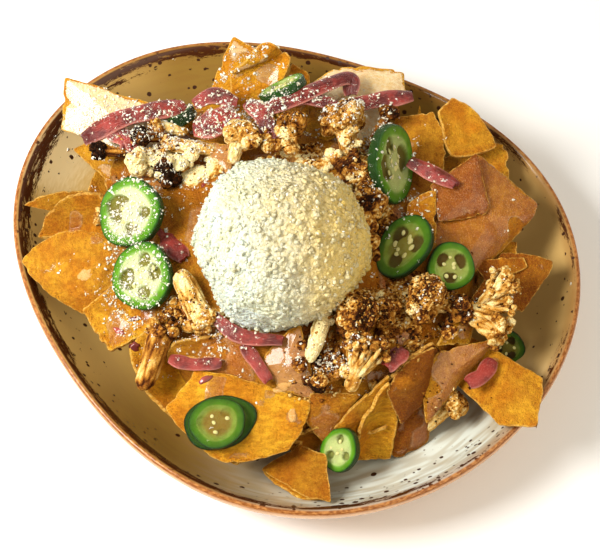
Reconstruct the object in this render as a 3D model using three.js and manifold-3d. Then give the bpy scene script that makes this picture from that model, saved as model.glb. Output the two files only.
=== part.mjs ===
// Loaded nachos on their plate, in millimetres, +Z up.
// The origin is the middle of the plate, on the surface that its foot ring stands on.
// +X runs along the plate's longer way, and -Y is the side that a guest would sit at.

import * as THREE from 'three';
import { mergeVertices } from 'three/addons/utils/BufferGeometryUtils.js';
import Module from 'manifold-3d';

const wasm = await Module();
wasm.setup();

// ---- Driving dimensions ----

const GAP = 0.3;                       // clear space between pieces that touch

const PLATE_RADIUS = 136.4;            // mean radius of the pebble-shaped rim
const PLATE_OVAL = 0.08;               // how far the rim is stretched one way
const PLATE_OVAL_TURN = -37;           // degrees, the way that it is stretched
const PLATE_LOBE = 0.036;              // how far the rim bulges at three places
const PLATE_LOBE_TURN = 19;            // degrees, where the first bulge is
const PLATE_AT = [-0.9, 2.2];          // what the bulges turn about
const PLATE_SEGMENTS = 42;
const PLATE_FLOOR = 7;                 // height of the flat middle
const PLATE_INNER_RIM = 35.5;          // height where the inner wall meets the lip
const PLATE_CURVE = 2.6;               // how late the walls turn upwards

const CORE_TOP = 57;                   // the bare heap under the chips that show
const CORE_CENTRE = [-2, -4];
const CORE_BACK = 0.2;                 // how much further its foot reaches on the far side
const CHIP_THICK = 2;
const FLAT_CROWN = 1;                  // chips with no more crown than this need no inner ring

const SCOOP_RADIUS = 41;
const SCOOP_AT = [-5.5, -15.9, 72];
// Where the spoon left the ball flatter: the direction, how deep and how tight.
const SCOOP_FLATS = [
  [[0.71, -0.61, -0.35], 0.13, 4], [[-0.92, -0.34, -0.2], 0.11, 7], [[0.34, 0.81, 0.47], 0.05, 9],
];

// ---- Small helpers ----

const radians = (degrees) => degrees * Math.PI / 180;

/** Turns a closed geometry into a solid that can be joined and cut. */
function solid(geometry) {
  const bare = geometry.clone();
  bare.deleteAttribute('normal');
  bare.deleteAttribute('uv');
  const merged = mergeVertices(bare, 1e-4);
  return new wasm.Manifold(new wasm.Mesh({
    numProp: 3,
    vertProperties: new Float32Array(merged.attributes.position.array),
    triVerts: new Uint32Array(merged.index.array),
  }));
}

/** Turns a solid back into a geometry. */
function geometryOf(body) {
  const mesh = body.getMesh();
  const geometry = new THREE.BufferGeometry();
  const stride = mesh.numProp;
  const positions = [];
  for (let i = 0; i < mesh.vertProperties.length; i += stride) {
    positions.push(...mesh.vertProperties.slice(i, i + 3));
  }
  geometry.setAttribute('position', new THREE.Float32BufferAttribute(positions, 3));
  geometry.setIndex(Array.from(mesh.triVerts));
  return geometry;
}

/** Keeps the largest of the pieces that a cut has left, so that no loose scrap stays. */
function largest(body) {
  const pieces = body.decompose();
  pieces.sort((a, b) => b.volume() - a.volume());
  return pieces[0];
}

/** Joins several solids into one. */
function join(bodies) {
  return bodies.reduce((whole, body) => whole.add(body));
}

/** Moves every vertex of a geometry by a function of its place. */
function reshape(geometry, move) {
  const position = geometry.attributes.position;
  const point = new THREE.Vector3();
  for (let i = 0; i < position.count; i += 1) {
    point.fromBufferAttribute(position, i);
    move(point);
    position.setXYZ(i, point.x, point.y, point.z);
  }
  return geometry;
}

/** Turns a geometry about a profile, with the axis up and the profile as [radius, height]. */
function turned(profile, segments) {
  const points = profile.map(([radius, height]) => new THREE.Vector2(radius, height));
  return new THREE.LatheGeometry(points, segments).rotateX(Math.PI / 2);
}

// ---- Plate ----

/** Radius of the plate's rim in a direction, as a pebble: an oval with three soft bulges. */
function rimRadius(angle) {
  const oval = PLATE_OVAL * Math.cos(2 * (angle - radians(PLATE_OVAL_TURN)));
  const lobe = PLATE_LOBE * Math.cos(3 * (angle - radians(PLATE_LOBE_TURN)));
  return PLATE_RADIUS * (1 + oval + lobe);
}

/** Widens a turned shape, whose radii are shares of the rim, to the pebble outline. */
function pebble(geometry) {
  return reshape(geometry, (point) => {
    const radius = rimRadius(Math.atan2(point.y, point.x));
    point.x = point.x * radius + PLATE_AT[0];
    point.y = point.y * radius + PLATE_AT[1];
  });
}

/** Profile of the plate, from the middle of its underside round the lip to its middle. */
function plateProfile(grow) {
  const profile = [[0, 2.2], [0.5, 2.2], [0.515, 0], [0.56, 0]];
  for (const t of [0, 0.35, 0.7, 1]) {
    profile.push([0.6 + 0.385 * t, 2.5 + 26.5 * t ** 2.5]);
  }
  profile.push([0.998, 33], [1, 36], [0.99, 38], [0.972, 37.7]);
  for (const t of [1, 0.78, 0.5, 0]) {
    const height = PLATE_FLOOR + (PLATE_INNER_RIM - PLATE_FLOOR) * t ** PLATE_CURVE;
    profile.push([0.58 + 0.382 * t, height]);
  }
  profile.push([0, PLATE_FLOOR]);
  if (grow === 0) {
    return profile;
  }
  const lip = profile.findIndex(([, height]) => height > 37.9);
  return profile.map(([share, height], i) => {
    const inside = i >= lip;
    const side = inside && share > 0 ? -0.7 * grow / PLATE_RADIUS : 0;
    return [share + side, height + (inside ? grow : 0)];
  });
}

function plate(grow = 0) {
  return solid(pebble(turned(plateProfile(grow), PLATE_SEGMENTS)));
}

// ---- Tortilla chips ----

// Each row is one chip: its corners [x, y, z] in order round its outline, how far each
// side bows out, and the crown, how far its middle stands above its corners.
const CHIPS = {
  back_left: [[[-118, 96, 56], [-50, 73, 52], [-73, 51, 46], [-120, 73, 42]], [], 2],
  left_back: [[[-113, 60, 42], [-74, 81, 46], [-71, 15, 44]], [], 1],
  left_sliver: [[[-135, 26, 43], [-82, 28, 40], [-92, 21, 34]], [7], 0],
  left_scoop: [[[-127, 11, 36], [-95, 25, 56], [-73, 3, 46]], [8], -5],
  left_wide: [
    [[-133, -7, 43], [-83, -3, 52], [-69, -9, 46], [-76, -33, 36], [-101, -33, 37]],
    [11, 0, 0, 0, 3], 5],
  left_front: [
    [[-101, -32, 40], [-82, -13, 52], [-58, -40, 46], [-79, -50, 37], [-87, -52, 34]],
    [-3, 0, 0, 0, 1], -3],
  front_sunlit: [
    [[-68, -49, 52], [-77, -58, 46], [-66, -78, 38], [-25, -110, 34], [-14, -81, 42]],
    [1, 1, 1], -9],
  front_large: [
    [[-58, -85, 42], [-45, -69, 49], [8, -84, 46], [-2, -105, 41], [-30, -110, 36]],
    [-1, 2, 2, 1, 3], 3],
  front_shade: [[[-27, -103, 18], [3, -94, 20], [3, -77, 34], [-25, -82, 34]], [], 1],
  front_dark: [[[5, -90, 42], [8, -80, 48], [31, -80, 46], [26, -86, 42], [15, -99, 32]], [], 2],
  front_under: [[[-4, -97, 26], [3, -85, 34], [22, -95, 28], [15, -105, 17]], [], 1],
  front_slant: [[[16, -95, 36], [44, -74, 54], [37, -86, 32], [24, -100, 22]], [1], 1],
  front_blade: [
    [[44, -77, 54], [29, -99, 26], [29, -100, 16], [46, -99, 16], [49, -86, 32]],
    [3.5], -4],
  taco_left: [[[43, -76, 50], [65, -59, 58], [49, -77, 32]], [4], 0],
  taco_right: [[[43, -79, 49], [65, -61, 58], [62, -78, 36], [50, -88, 32]], [4], 2],
  front_low: [[[39, -91, 20], [60, -77, 33], [64, -89, 15], [48, -98, 15]], [0, 2, 2], 2],
  front_fold_top: [
    [[-14, -107, 21], [3, -98, 30], [15, -105, 34], [17, -128, 34], [5, -123, 30]],
    [], 2],
  front_fold_under: [
    [[-14, -107, 18], [3, -97, 26], [14, -109, 25], [16, -126, 32], [5, -124, 27]],
    [0, 0, 0, 0, 1.5], -1],
  right_sauced: [
    [[62, -88, 31], [59, -69, 48], [68, -60, 51], [96, -51, 46], [83, -65, 41]],
    [], 2],
  right_nib: [[[67, -56, 48], [72, -49, 52], [89, -30, 46], [83, -53, 44]], [], 1],
  right_overhang: [
    [[78, -41, 36], [115, -71, 45], [115, -79, 45], [112, -95, 43], [95, -94, 41], [74, -65, 32]],
    [1, 0, 0, 0, -1], 2],
  right_tip: [
    [[101, -4, 46], [126, -9, 47], [126, -13, 46], [109, -35, 41], [85, -30, 46]],
    [1], 1],
  right_small: [[[85, -11, 50], [112, -8, 48], [113, -13, 47], [95, -23, 47]], [], 0],
  right_stub: [[[90, 6, 42], [110, 4, 42], [109, -3, 42], [85, -3, 36]], [], 0],
  right_wide: [
    [[91, 43, 62], [121, 21, 51], [119, 16, 50], [103, -2, 46], [72, -27, 50], [67, 7, 54]],
    [0, 0, 0, 1], 4],
  right_top: [
    [[90, 40, 67], [94, 19, 61], [95, 14, 59], [93, 10, 58], [70, 6, 58], [67, 24, 63]],
    [], 2],
  right_spot: [
    [[69, 20, 64], [69, 1, 55], [68, -8, 50], [54, 2, 53], [56, 15, 58]],
    [0, 0, 0, 0, 2], 1],
  back_right_near: [
    [[52, 71, 55], [71, 71, 60], [76, 59, 57], [77, 45, 50], [66, 27, 46], [46, 44, 48]],
    [], 1],
  back_right_far: [
    [[73, 70, 61], [80, 77, 64], [92, 70, 60], [103, 55, 52], [80, 47, 54], [75, 60, 58]],
    [0, 1, 1, 2, 1], -2],
  back_right_low: [
    [[96, 65, 44], [107, 60, 46], [109, 41, 43], [74, 30, 36], [68, 53, 36]],
    [0, 1], 0],
  back_tip: [[[65, 82, 52], [70, 48, 32], [55, 48, 32]], [], 0],
  back_sauced: [
    [[10, 92, 56], [17, 97, 58], [29, 100, 59], [56, 98, 57], [58, 87, 53], [30, 48, 46]],
    [0, 1, 1], 4],
  back_peak: [[[-1, 105, 56], [9, 101, 53], [8, 76, 38], [-8, 76, 38]], [], 0],
  back_corner: [[[-31, 113, 68], [-19, 107, 66], [-13, 72, 38], [-49, 79, 38]], [0, 0, 0, 1], 1],
  back_curled: [
    [[-32, 96, 60], [-4, 104, 67], [-1, 101, 66], [-14, 71, 40], [-31, 71, 40]],
    [0, 0, 0, 0, 1], -2],
  back_flap: [
    [[-32, 95, 60], [-24, 98, 68], [-16, 105, 73], [-9, 103, 73], [-6, 104, 67], [-22, 99, 62]],
    [0, 1, 1, 0, 0, -1], 2],
  middle_left: [[[-49, 52, 54], [-41, 34, 48], [-46, 25, 46], [-66, 22, 44], [-70, 47, 48]], [], 2],
  middle_edge: [[[-58, 61, 55], [-54, 68, 59], [-50, 71, 60], [-47, 61, 50]], [1, 1], 0],
  middle_back: [[[-48, 55, 58], [-27, 47, 62], [-34, 27, 54]], [], 1],
  middle_front: [
    [[-58, -64, 48], [-54, -57, 54], [-25, -50, 54], [-21, -65, 50], [-41, -68, 46]],
    [2, 0, 0, 0, 1], -3],
  middle_cheese: [
    [[4, -52, 62], [11, -83, 46], [-4, -79, 46], [-15, -68, 50], [-6, -55, 58]],
    [], 2],
};

// Directions, in degrees, of the chips low on the far side that lean towards the wall.
const LEANING = [4, 28, 50, 72, 93, 114, 136, 158];

/** The row of a chip low on the far side: one corner in the heap, two near the wall. */
function leaning(direction, i) {
  const corner = (turn, share, height) => {
    const angle = radians(direction + turn);
    const radius = share * rimRadius(angle);
    return [
      PLATE_AT[0] + radius * Math.cos(angle), PLATE_AT[1] + radius * Math.sin(angle), height,
    ];
  };
  const tall = i % 2 === 0;
  return [
    [corner(0, 0.6, 14), corner(-13, 0.8, tall ? 26 : 21), corner(14, 0.78, tall ? 22 : 27)],
    [1, 2, 1], 1];
}

/** Middle and upward normal of a chip's corners. */
function chipFrame(corners) {
  const middle = new THREE.Vector3();
  const normal = new THREE.Vector3();
  corners.forEach((corner, i) => {
    middle.addScaledVector(corner, 1 / corners.length);
    normal.add(new THREE.Vector3().crossVectors(corner, corners[(i + 1) % corners.length]));
  });
  const clockwise = normal.z < 0;
  normal.normalize().multiplyScalar(clockwise ? -1 : 1);
  return { middle, normal, clockwise };
}

/** How many pieces a side of a chip is split into: one if straight, more as it bows. */
function sideSteps(bow) {
  if (bow === 0) {
    return 1;
  }
  return Math.abs(bow) < 5 ? 2 : 3;
}

/** A chip: a thin solid between two alike faces, each a ring by ring fan round its middle. */
function chip([places, bows, crown], grow = 0) {
  let corners = places.map((place) => new THREE.Vector3(...place));
  let sides = corners.map((_, i) => bows[i] ?? 0);
  const { middle, normal, clockwise } = chipFrame(corners);
  if (clockwise) {
    corners = corners.reverse();
    sides = sides.slice(0, -1).reverse().concat(sides.at(-1));
  }
  const outline = [];
  corners.forEach((corner, i) => {
    const next = corners[(i + 1) % corners.length];
    const outward = new THREE.Vector3().subVectors(next, corner).cross(normal).normalize();
    const steps = sideSteps(sides[i]);
    for (let step = 0; step < steps; step += 1) {
      const t = step / steps;
      const point = corner.clone().lerp(next, t);
      outline.push(point.addScaledVector(outward, sides[i] * 4 * t * (1 - t)));
    }
  });
  const half = CHIP_THICK / 2 + grow;
  const rings = Math.abs(crown) > FLAT_CROWN ? [1, 0.5] : [1];
  const positions = [];
  for (const level of [half, -half]) {
    for (const ring of rings) {
      for (const point of outline) {
        const lift = crown * (1 - ring * ring) + level;
        positions.push(middle.clone().lerp(point, ring).addScaledVector(normal, lift));
      }
    }
    positions.push(middle.clone().addScaledVector(normal, crown + level));
  }
  const count = outline.length;
  const face = count * rings.length + 1;
  const index = [];
  const triangle = (top, a, b, c) => {
    index.push(...(top ? [a, b, c] : [c + face, b + face, a + face]));
  };
  for (const top of [true, false]) {
    for (let i = 0; i < count; i += 1) {
      const j = (i + 1) % count;
      for (let ring = 0; ring < rings.length - 1; ring += 1) {
        const outer = ring * count;
        const inner = outer + count;
        triangle(top, outer + i, outer + j, inner + j);
        triangle(top, outer + i, inner + j, inner + i);
      }
      const last = (rings.length - 1) * count;
      triangle(top, last + i, last + j, face - 1);
    }
  }
  for (let i = 0; i < count; i += 1) {
    const j = (i + 1) % count;
    index.push(i, i + face, j + face, i, j + face, j);
  }
  const geometry = new THREE.BufferGeometry();
  geometry.setAttribute('position', new THREE.Float32BufferAttribute(
    positions.flatMap((point) => point.toArray()), 3));
  geometry.setIndex(index);
  return solid(geometry);
}

/** The bare heap under the chips: a mound that follows the plate's outline. */
function heapCore() {
  const profile = [
    [0, 7.5], [0.5, 7.5], [0.6, 10.5], [0.66, 19], [0.67, 30], [0.63, 42], [0.52, 51],
    [0.3, 56], [0, CORE_TOP],
  ];
  const mound = pebble(turned(profile, 24)).translate(...CORE_CENTRE, 0);
  return solid(reshape(mound, (point) => {
    if (point.y > 0) {
      point.y *= 1 + CORE_BACK * Math.max(0, 1 - point.z / 45);
    }
  }));
}

// ---- Scoop ----

/** A scoop of guacamole: a ball pressed flatter by the spoon, with a ledge low on one side. */
function scoop(grow = 0) {
  const ball = new THREE.IcosahedronGeometry(1, 3);
  reshape(ball, (point) => {
    const { x, y, z } = point;
    const dents = 0.022 * Math.sin(5 * x + 1) * Math.cos(4 * y) + 0.018 * Math.sin(6 * z + 3 * x);
    const ledge = 0.05 * Math.exp(-8 * ((x - 0.8) ** 2 + (z + 0.2) ** 2));
    const flats = SCOOP_FLATS.map(([way, deep, tight]) => (
      deep * Math.exp(-tight * point.distanceToSquared(new THREE.Vector3(...way)))));
    const pressed = flats.reduce((sum, flat) => sum + flat, 0);
    point.multiplyScalar(SCOOP_RADIUS * (1 + dents + ledge - pressed) + grow);
  });
  return solid(ball.translate(...SCOOP_AT));
}

// ---- Jalapeño slices ----

// Each row is one slice: its middle, the direction that its cut face looks in as [azimuth,
// elevation] in degrees, its radius and thickness, how many times longer than wide it is,
// and the turn of its long way in degrees.
const JALAPENOS = {
  left_upper: [[-78, 9, 62], [-138, 57], 17.0, 5, 1.0, 0],
  left_lower: [[-71, -23, 56], [-133, 57], 15.6, 5, 1.04, -142],
  right_upper: [[48, 35, 66], [-21, 32], 16.5, 5.5, 1.2, 126],
  right_middle: [[53, -10, 62], [-171, 60], 13.5, 3.5, 1.25, -139],
  right_lower: [[75, -18, 57], [-71, 59], 11.6, 4, 1.0, 0],
  front_upper: [[-34, -96, 50], [-90, 72], 11.6, 3.2, 1.12, 102],
  front_under: [[-33, -94, 46], [-90, 72], 12.2, 3.2, 1.38, 104],
  front_small: [[22, -102, 33], [-139, 58], 9.0, 6, 1.15, -154],
  rim_right: [[105, -42, 19], [-113, 58], 8.6, 4, 1.0, 0],
  back_edge: [[-5, 81, 66], [126, 44], 12.5, 5, 1.0, 0],
  back_left: [[-57, 69, 58], [131, 44], 8.5, 6, 1.0, 0],
};
const FLESH = 0.66;                    // where the flesh ends and the seeds begin
const SEED_DEPTH = 1;                  // how far the seeds lie under the cut face
const SMALL_SLICE = 11;                // slices no larger than this have fewer sides

/** A slice of jalapeño: a round slab of flesh with a sunk middle that holds the seeds. */
function jalapeno([at, facing, radius, thick, long, spin], grow = 0) {
  const half = thick / 2 + grow;
  const sunk = half - SEED_DEPTH;
  const skin = radius + grow;
  const shoulder = 0.92 * radius + grow;
  const flesh = FLESH * radius;
  const seeds = flesh - SEED_DEPTH;
  const slice = turned([
    [0, -half], [seeds, -sunk], [flesh, -half], [shoulder, -half], [skin, -0.5 * half],
    [skin, 0.5 * half], [shoulder, half], [flesh, half], [seeds, sunk], [0, half],
  ], radius > SMALL_SLICE ? 10 : 8);
  slice.scale(long, 1, 1).rotateZ(radians(spin));
  slice.rotateY(radians(90 - facing[1])).rotateZ(radians(facing[0]));
  return solid(slice.translate(...at));
}

// ---- Pickled red onion ----

// Each row is one strip: the points that it runs through, its width and its thickness.
const ONIONS = {
  back_left_long: [[[-105, 54, 58], [-88, 63, 62], [-71, 68, 63], [-55, 74, 59]], 11, 3.5],
  back_left_petal: [[[-92, 58, 60], [-83, 53, 60], [-81, 49, 56]], 10, 3],
  back_left_drop: [[[-82, 53, 62], [-78, 48, 58]], 7, 3],
  back_arc: [[[-50, 75, 60], [-40, 78, 63], [-28, 74, 62]], 9, 3],
  back_petal: [[[-49, 58, 62], [-39, 59, 66], [-29, 66, 66]], 15, 3],
  back_down: [[[-23, 68, 70], [-15, 60, 70], [-10, 43, 64]], 9, 3],
  back_bridge: [[[-18, 62, 69], [3, 71, 71], [27, 85, 68], [29, 78, 64]], 8, 3.5],
  back_twist: [[[-4, 70, 68], [8, 71, 69], [22, 70, 66]], 7, 3],
  back_right_bar: [[[27, 70, 64], [43, 74, 64], [60, 78, 62]], 9, 4],
  right_bar: [[[57, 38, 62], [67, 31, 63], [79, 21, 66]], 8, 3.5],
  front_ring: [[[-37, -45, 56], [-24, -56, 57], [-4, -60, 60]], 7, 3],
  front_strand: [[[-23, -60, 56], [-18, -66, 54], [-11, -76, 51]], 6, 3],
  front_sauced: [[[-57, -64, 50], [-47, -67, 50], [-33, -67, 51]], 6, 3],
  right_knob: [[[81, -74, 44], [88, -70, 44], [93, -62, 43]], 7, 4],
  taco_knob: [[[43, -72, 57], [47, -68, 58], [51, -64, 58]], 7, 4],
  left_pocket: [[[-65, 6, 50], [-58, -4, 52], [-52, -13, 54]], 10, 3],
  left_thread: [[[-44, 30, 54], [-47, 21, 53], [-51, 13, 50]], 3.5, 2],
};
const STRIP_STEPS = 4;
const STRIP_VAULT = 1.4;               // how far the edges of a strip curl down

/** A strip of onion: a flat bar laid along a curve, thinner and narrower at its ends. */
function onion([places, width, thick], grow = 0) {
  const points = places.map((place) => new THREE.Vector3(...place));
  const curve = points.length > 2
    ? new THREE.CatmullRomCurve3(points)
    : new THREE.LineCurve3(...points);
  const bar = new THREE.BoxGeometry(1, 1, 1, STRIP_STEPS, 2, 1);
  const up = new THREE.Vector3(0, 0, 1);
  reshape(bar, (point) => {
    const t = point.x + 0.5;
    const along = curve.getTangent(t);
    const across = new THREE.Vector3().crossVectors(up, along).normalize();
    const above = new THREE.Vector3().crossVectors(along, across);
    const taper = 1 - 0.45 * (2 * t - 1) ** 4;
    const vault = thick * (0.5 - STRIP_VAULT * point.y ** 2);
    const lengthwise = t === 0 || t === 1 ? Math.sign(point.x) * grow : 0;
    const sideways = point.y * width * taper + 1.2 * grow * Math.sign(point.y);
    const upwards = point.z * thick * taper + 1.2 * grow * Math.sign(point.z) + vault;
    point.copy(curve.getPoint(t)).addScaledVector(along, lengthwise);
    point.addScaledVector(across, sideways).addScaledVector(above, upwards);
  });
  return solid(bar);
}

// ---- Roasted cauliflower ----

// Each row is one floret: the foot of its stem, the middle of its head, the head's radius.
const FLORETS = {
  back_left_tip: [[-74, 48, 56], [-96, 48, 58], 6.5],
  back_left_dark: [[-64, 56, 58], [-75, 53, 64], 6.5],
  back_left_gold: [[-54, 60, 58], [-68, 61, 61], 7.5],
  back_left_arm: [[-39, 48, 59], [-62, 50, 61], 6],
  back_left_low: [[-60, 46, 56], [-76, 42, 57], 8.5],
  back_left_burnt: [[-48, 44, 59], [-61, 36, 57], 8.5],
  back_middle: [[-30, 39, 62], [-26, 51, 67], 9.5],
  back_high: [[-2, 42, 66], [-2, 56, 68], 9],
  back_right: [[28, 45, 62], [25, 61, 66], 13],
  back_right_tip: [[39, 53, 60], [48, 67, 64], 6],
  right_high: [[19, 24, 62], [29, 31, 64], 12],
  right_dark: [[23, 14, 60], [34, 9, 62], 12],
  right_low: [[72, -38, 54], [62, -37, 58], 11.5],
  right_clump: [[72, -46, 52], [80, -43, 56], 6],
  right_outer: [[75, -38, 54], [94, -44, 53], 12],
  right_edge: [[88, -37, 52], [99, -26, 56], 7.5],
  front_dark: [[46, -43, 58], [30, -50, 62], 13],
  front_stem: [[8, -67, 56], [14, -50, 64], 6.5],
  front_wide: [[26, -80, 52], [34, -65, 60], 10],
  front_burnt: [[24, -72, 54], [12, -76, 52], 6.5],
  front_char: [[20, -66, 52], [28, -74, 54], 5.5],
  left_stem: [[-53, -24, 60], [-42, -46, 54], 10],
  left_low: [[-69, -76, 46], [-61, -52, 54], 9.5],
  front_rim: [[62, -85, 17], [75, -77, 29], 8.5],
  left_crumb: [[-85, 16, 52], [-94, 12, 52], 5],
};

/** A floret: a tapered stem under a rough, flattened head. */
function floret([foot, top, radius], grow = 0) {
  const from = new THREE.Vector3(...foot);
  const to = new THREE.Vector3(...top);
  const along = new THREE.Vector3().subVectors(to, from);
  const length = along.length() + 2 * grow;
  along.normalize();
  const turn = new THREE.Quaternion().setFromUnitVectors(new THREE.Vector3(0, 1, 0), along);
  const stem = new THREE.CylinderGeometry(radius * 0.5 + grow, radius * 0.34 + grow, length, 5, 1);
  stem.applyQuaternion(turn).translate(...from.clone().lerp(to, 0.5).toArray());
  const head = reshape(new THREE.IcosahedronGeometry(1, radius > 8.5 ? 1 : 0), (point) => {
    const { x, y, z } = point;
    const rough = 0.12 * Math.sin(7 * x + from.x) * Math.cos(6 * y + from.y);
    point.multiplyScalar(radius * (1 + rough) + grow).setY(0.75 * point.y);
    point.y -= z * radius * 0.1;
  });
  head.applyQuaternion(turn).translate(...to.toArray());
  return join([solid(stem), solid(head)]);
}

// ---- The scene ----

const FINISHES = {
  plate: new THREE.MeshStandardMaterial({ color: 0xb9ad8b, roughness: 0.3, metalness: 0 }),
  chip: new THREE.MeshStandardMaterial({ color: 0xe0a044, roughness: 0.6, metalness: 0 }),
  scoop: new THREE.MeshStandardMaterial({ color: 0xe3e3b8, roughness: 0.8, metalness: 0 }),
  jalapeno: new THREE.MeshStandardMaterial({ color: 0x4f8a22, roughness: 0.35, metalness: 0 }),
  onion: new THREE.MeshStandardMaterial({ color: 0x8c3446, roughness: 0.4, metalness: 0 }),
  cauliflower: new THREE.MeshStandardMaterial({ color: 0xc9a76a, roughness: 0.7, metalness: 0 }),
};

const group = new THREE.Group();
const placed = [];                     // what is already on the plate, with room round it

/** Adds a named piece to the plate. */
function show(name, body, finish) {
  const mesh = new THREE.Mesh(geometryOf(body), finish);
  mesh.name = name;
  group.add(mesh);
}

/** Adds a topping, cut clear of everything that was put down before it. */
function top(name, make, row, finish) {
  let body = make(row, 0);
  for (const room of placed) {
    body = body.subtract(room);
  }
  show(name, largest(body), finish);
  placed.push(make(row, GAP));
}

show('plate', plate(), FINISHES.plate);
placed.push(plate(GAP));
top('guacamole_scoop', (_, grow) => scoop(grow), null, FINISHES.scoop);
for (const [name, row] of Object.entries(JALAPENOS)) {
  top(`jalapeno_${name}`, jalapeno, row, FINISHES.jalapeno);
}
for (const [name, row] of Object.entries(ONIONS)) {
  top(`onion_${name}`, onion, row, FINISHES.onion);
}
for (const [name, row] of Object.entries(FLORETS)) {
  top(`cauliflower_${name}`, floret, row, FINISHES.cauliflower);
}

const chips = [...Object.values(CHIPS), ...LEANING.map(leaning)];
let heap = join([heapCore(), ...chips.map((row) => chip(row))]);
for (const room of placed) {
  heap = heap.subtract(room);
}
show('tortilla_chips', largest(heap), FINISHES.chip);

export default group;
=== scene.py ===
"""Loaded nachos on a pebble-shaped plate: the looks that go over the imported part.

Every piece is built in the frame of the part, in metres. The tables give places in
millimetres, because that is how the food was laid out.
"""

from __future__ import annotations

import logging
import math
from dataclasses import dataclass, field
from enum import Enum, IntEnum
from itertools import product
from typing import Iterator, NamedTuple, Sequence

import bpy
import numpy as np
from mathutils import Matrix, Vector
from mathutils.bvhtree import BVHTree
from numpy.linalg import norm


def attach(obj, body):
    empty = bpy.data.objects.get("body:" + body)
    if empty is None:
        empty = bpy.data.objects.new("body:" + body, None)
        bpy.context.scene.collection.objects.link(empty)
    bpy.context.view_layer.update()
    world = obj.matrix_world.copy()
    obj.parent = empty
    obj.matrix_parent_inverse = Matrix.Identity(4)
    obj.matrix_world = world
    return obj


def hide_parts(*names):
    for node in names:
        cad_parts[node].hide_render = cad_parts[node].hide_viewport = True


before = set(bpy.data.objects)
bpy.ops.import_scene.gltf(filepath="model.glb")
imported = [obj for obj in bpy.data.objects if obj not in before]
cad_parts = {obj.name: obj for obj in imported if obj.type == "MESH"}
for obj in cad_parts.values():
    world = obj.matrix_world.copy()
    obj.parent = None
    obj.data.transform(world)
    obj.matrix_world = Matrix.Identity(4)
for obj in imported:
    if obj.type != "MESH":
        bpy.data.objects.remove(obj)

LOG = logging.getLogger("nachos")
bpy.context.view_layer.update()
MM = 0.001
BODY = "root"
SHARP_EDGE = math.radians(50)

Array = np.ndarray
Piece = bpy.types.Object
Material = bpy.types.Material
Tree = bpy.types.NodeTree
Socket = bpy.types.NodeSocket
Place = tuple[float, float, float]
Tint = tuple[float, float, float, float]


class Seed(IntEnum):
    """Where each random series starts."""

    FILLING = 77
    LYING = 79
    SCOOP = 88
    SLICES = 300
    FLORETS = 500
    BED = 640
    STRANDS = 700
    FANS = 760
    CHEESE = 900
    ROAST = 901
    POOLS = 950


# ---- Noise over points, in millimetres ----


AXIS_PRIMES = (73856093, 19349663, 83492791)
SEED_PRIME = 2654435761
MIXING_PRIMES = ((15, 2246822519), (13, 3266489917))
LOW_32_BITS = 0xFFFFFFFF
LOW_24_BITS = 0xFFFFFF


def cell_value(cells: Array, seed: int) -> Array:
    """A settled random number from 0 to 1 for every whole-numbered cell."""
    mixed = cells.astype(np.int64) * np.array(AXIS_PRIMES)
    mixed = (mixed[..., 0] ^ mixed[..., 1] ^ mixed[..., 2]) + seed * SEED_PRIME
    for shift, prime in MIXING_PRIMES:
        mixed = (mixed ^ (mixed >> shift)) * prime & LOW_32_BITS
    return ((mixed ^ (mixed >> 16)) & LOW_24_BITS) / float(LOW_24_BITS)


def smooth_noise(points: Array, size: float, seed: int = 0) -> Array:
    """Soft noise from -1 to 1.

    Args:
        points: places in millimetres, one row each.
        size: width of one swell of the noise.
        seed: which noise it is.

    Returns:
        One value for each row.
    """
    scaled = points / size
    base = np.floor(scaled)
    part = scaled - base
    part = part * part * (3.0 - 2.0 * part)
    total = np.zeros(len(points))
    for corner in range(8):
        offset = np.array([corner & 1, corner >> 1 & 1, corner >> 2 & 1])
        weight = np.prod(np.where(offset == 1, part, 1.0 - part), axis=1)
        total += weight * cell_value(base + offset, seed)
    return 2.0 * total - 1.0


def packed_grains(points: Array, size: float, seed: int = 0) -> tuple[Array, Array]:
    """Packed grains: how high a place lies on its grain, and a number that the grain keeps.

    Args:
        points: places in millimetres, one row each.
        size: mean spacing of the grains.
        seed: which packing it is.

    Returns:
        The height, 1 on a crown and 0 between grains, and the grain's own number, 0 to 1.
    """
    scaled = points / size
    base = np.floor(scaled)
    nearest = np.full(len(points), 9.0)
    owner = base.copy()
    for step in product((-1, 0, 1), repeat=3):
        cell = base + step
        place = cell + np.stack([cell_value(cell, seed + k) for k in range(3)], axis=1)
        away = ((scaled - place) ** 2).sum(axis=1)
        closer = away < nearest
        nearest = np.where(closer, away, nearest)
        owner[closer] = cell[closer]
    return np.clip(1.0 - nearest, 0.0, 1.0), cell_value(owner, seed + 5)


def grain_noise(points: Array, size: float, seed: int = 0) -> Array:
    """Height of packed grains, from 0 to 1."""
    return packed_grains(points, size, seed)[0]


def ease(value: Array, low: float, high: float) -> Array:
    """A smooth step from 0 at low to 1 at high."""
    part = np.clip((value - low) / (high - low), 0.0, 1.0)
    return part * part * (3.0 - 2.0 * part)


# ---- Mesh work ----


def deselect() -> None:
    """Leaves nothing selected, so that an operator acts on the new piece alone."""
    bpy.ops.object.select_all(action="DESELECT")


def primitive(kind: str, **settings: object) -> Piece:
    """Adds a primitive mesh, named as its operator names it."""
    deselect()
    getattr(bpy.ops.mesh, f"primitive_{kind}_add")(**settings)
    return bpy.context.object


def take_up(piece: Piece) -> None:
    """Selects one piece alone and makes it active."""
    deselect()
    piece.select_set(True)
    bpy.context.view_layer.objects.active = piece


def edit(piece: Piece, operator: str, **settings: object) -> None:
    """Runs one mesh operator on all of a piece in edit mode."""
    take_up(piece)
    bpy.ops.object.mode_set(mode="EDIT")
    bpy.ops.mesh.select_all(action="SELECT")
    getattr(bpy.ops.mesh, operator)(**settings)
    bpy.ops.object.mode_set(mode="OBJECT")


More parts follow.
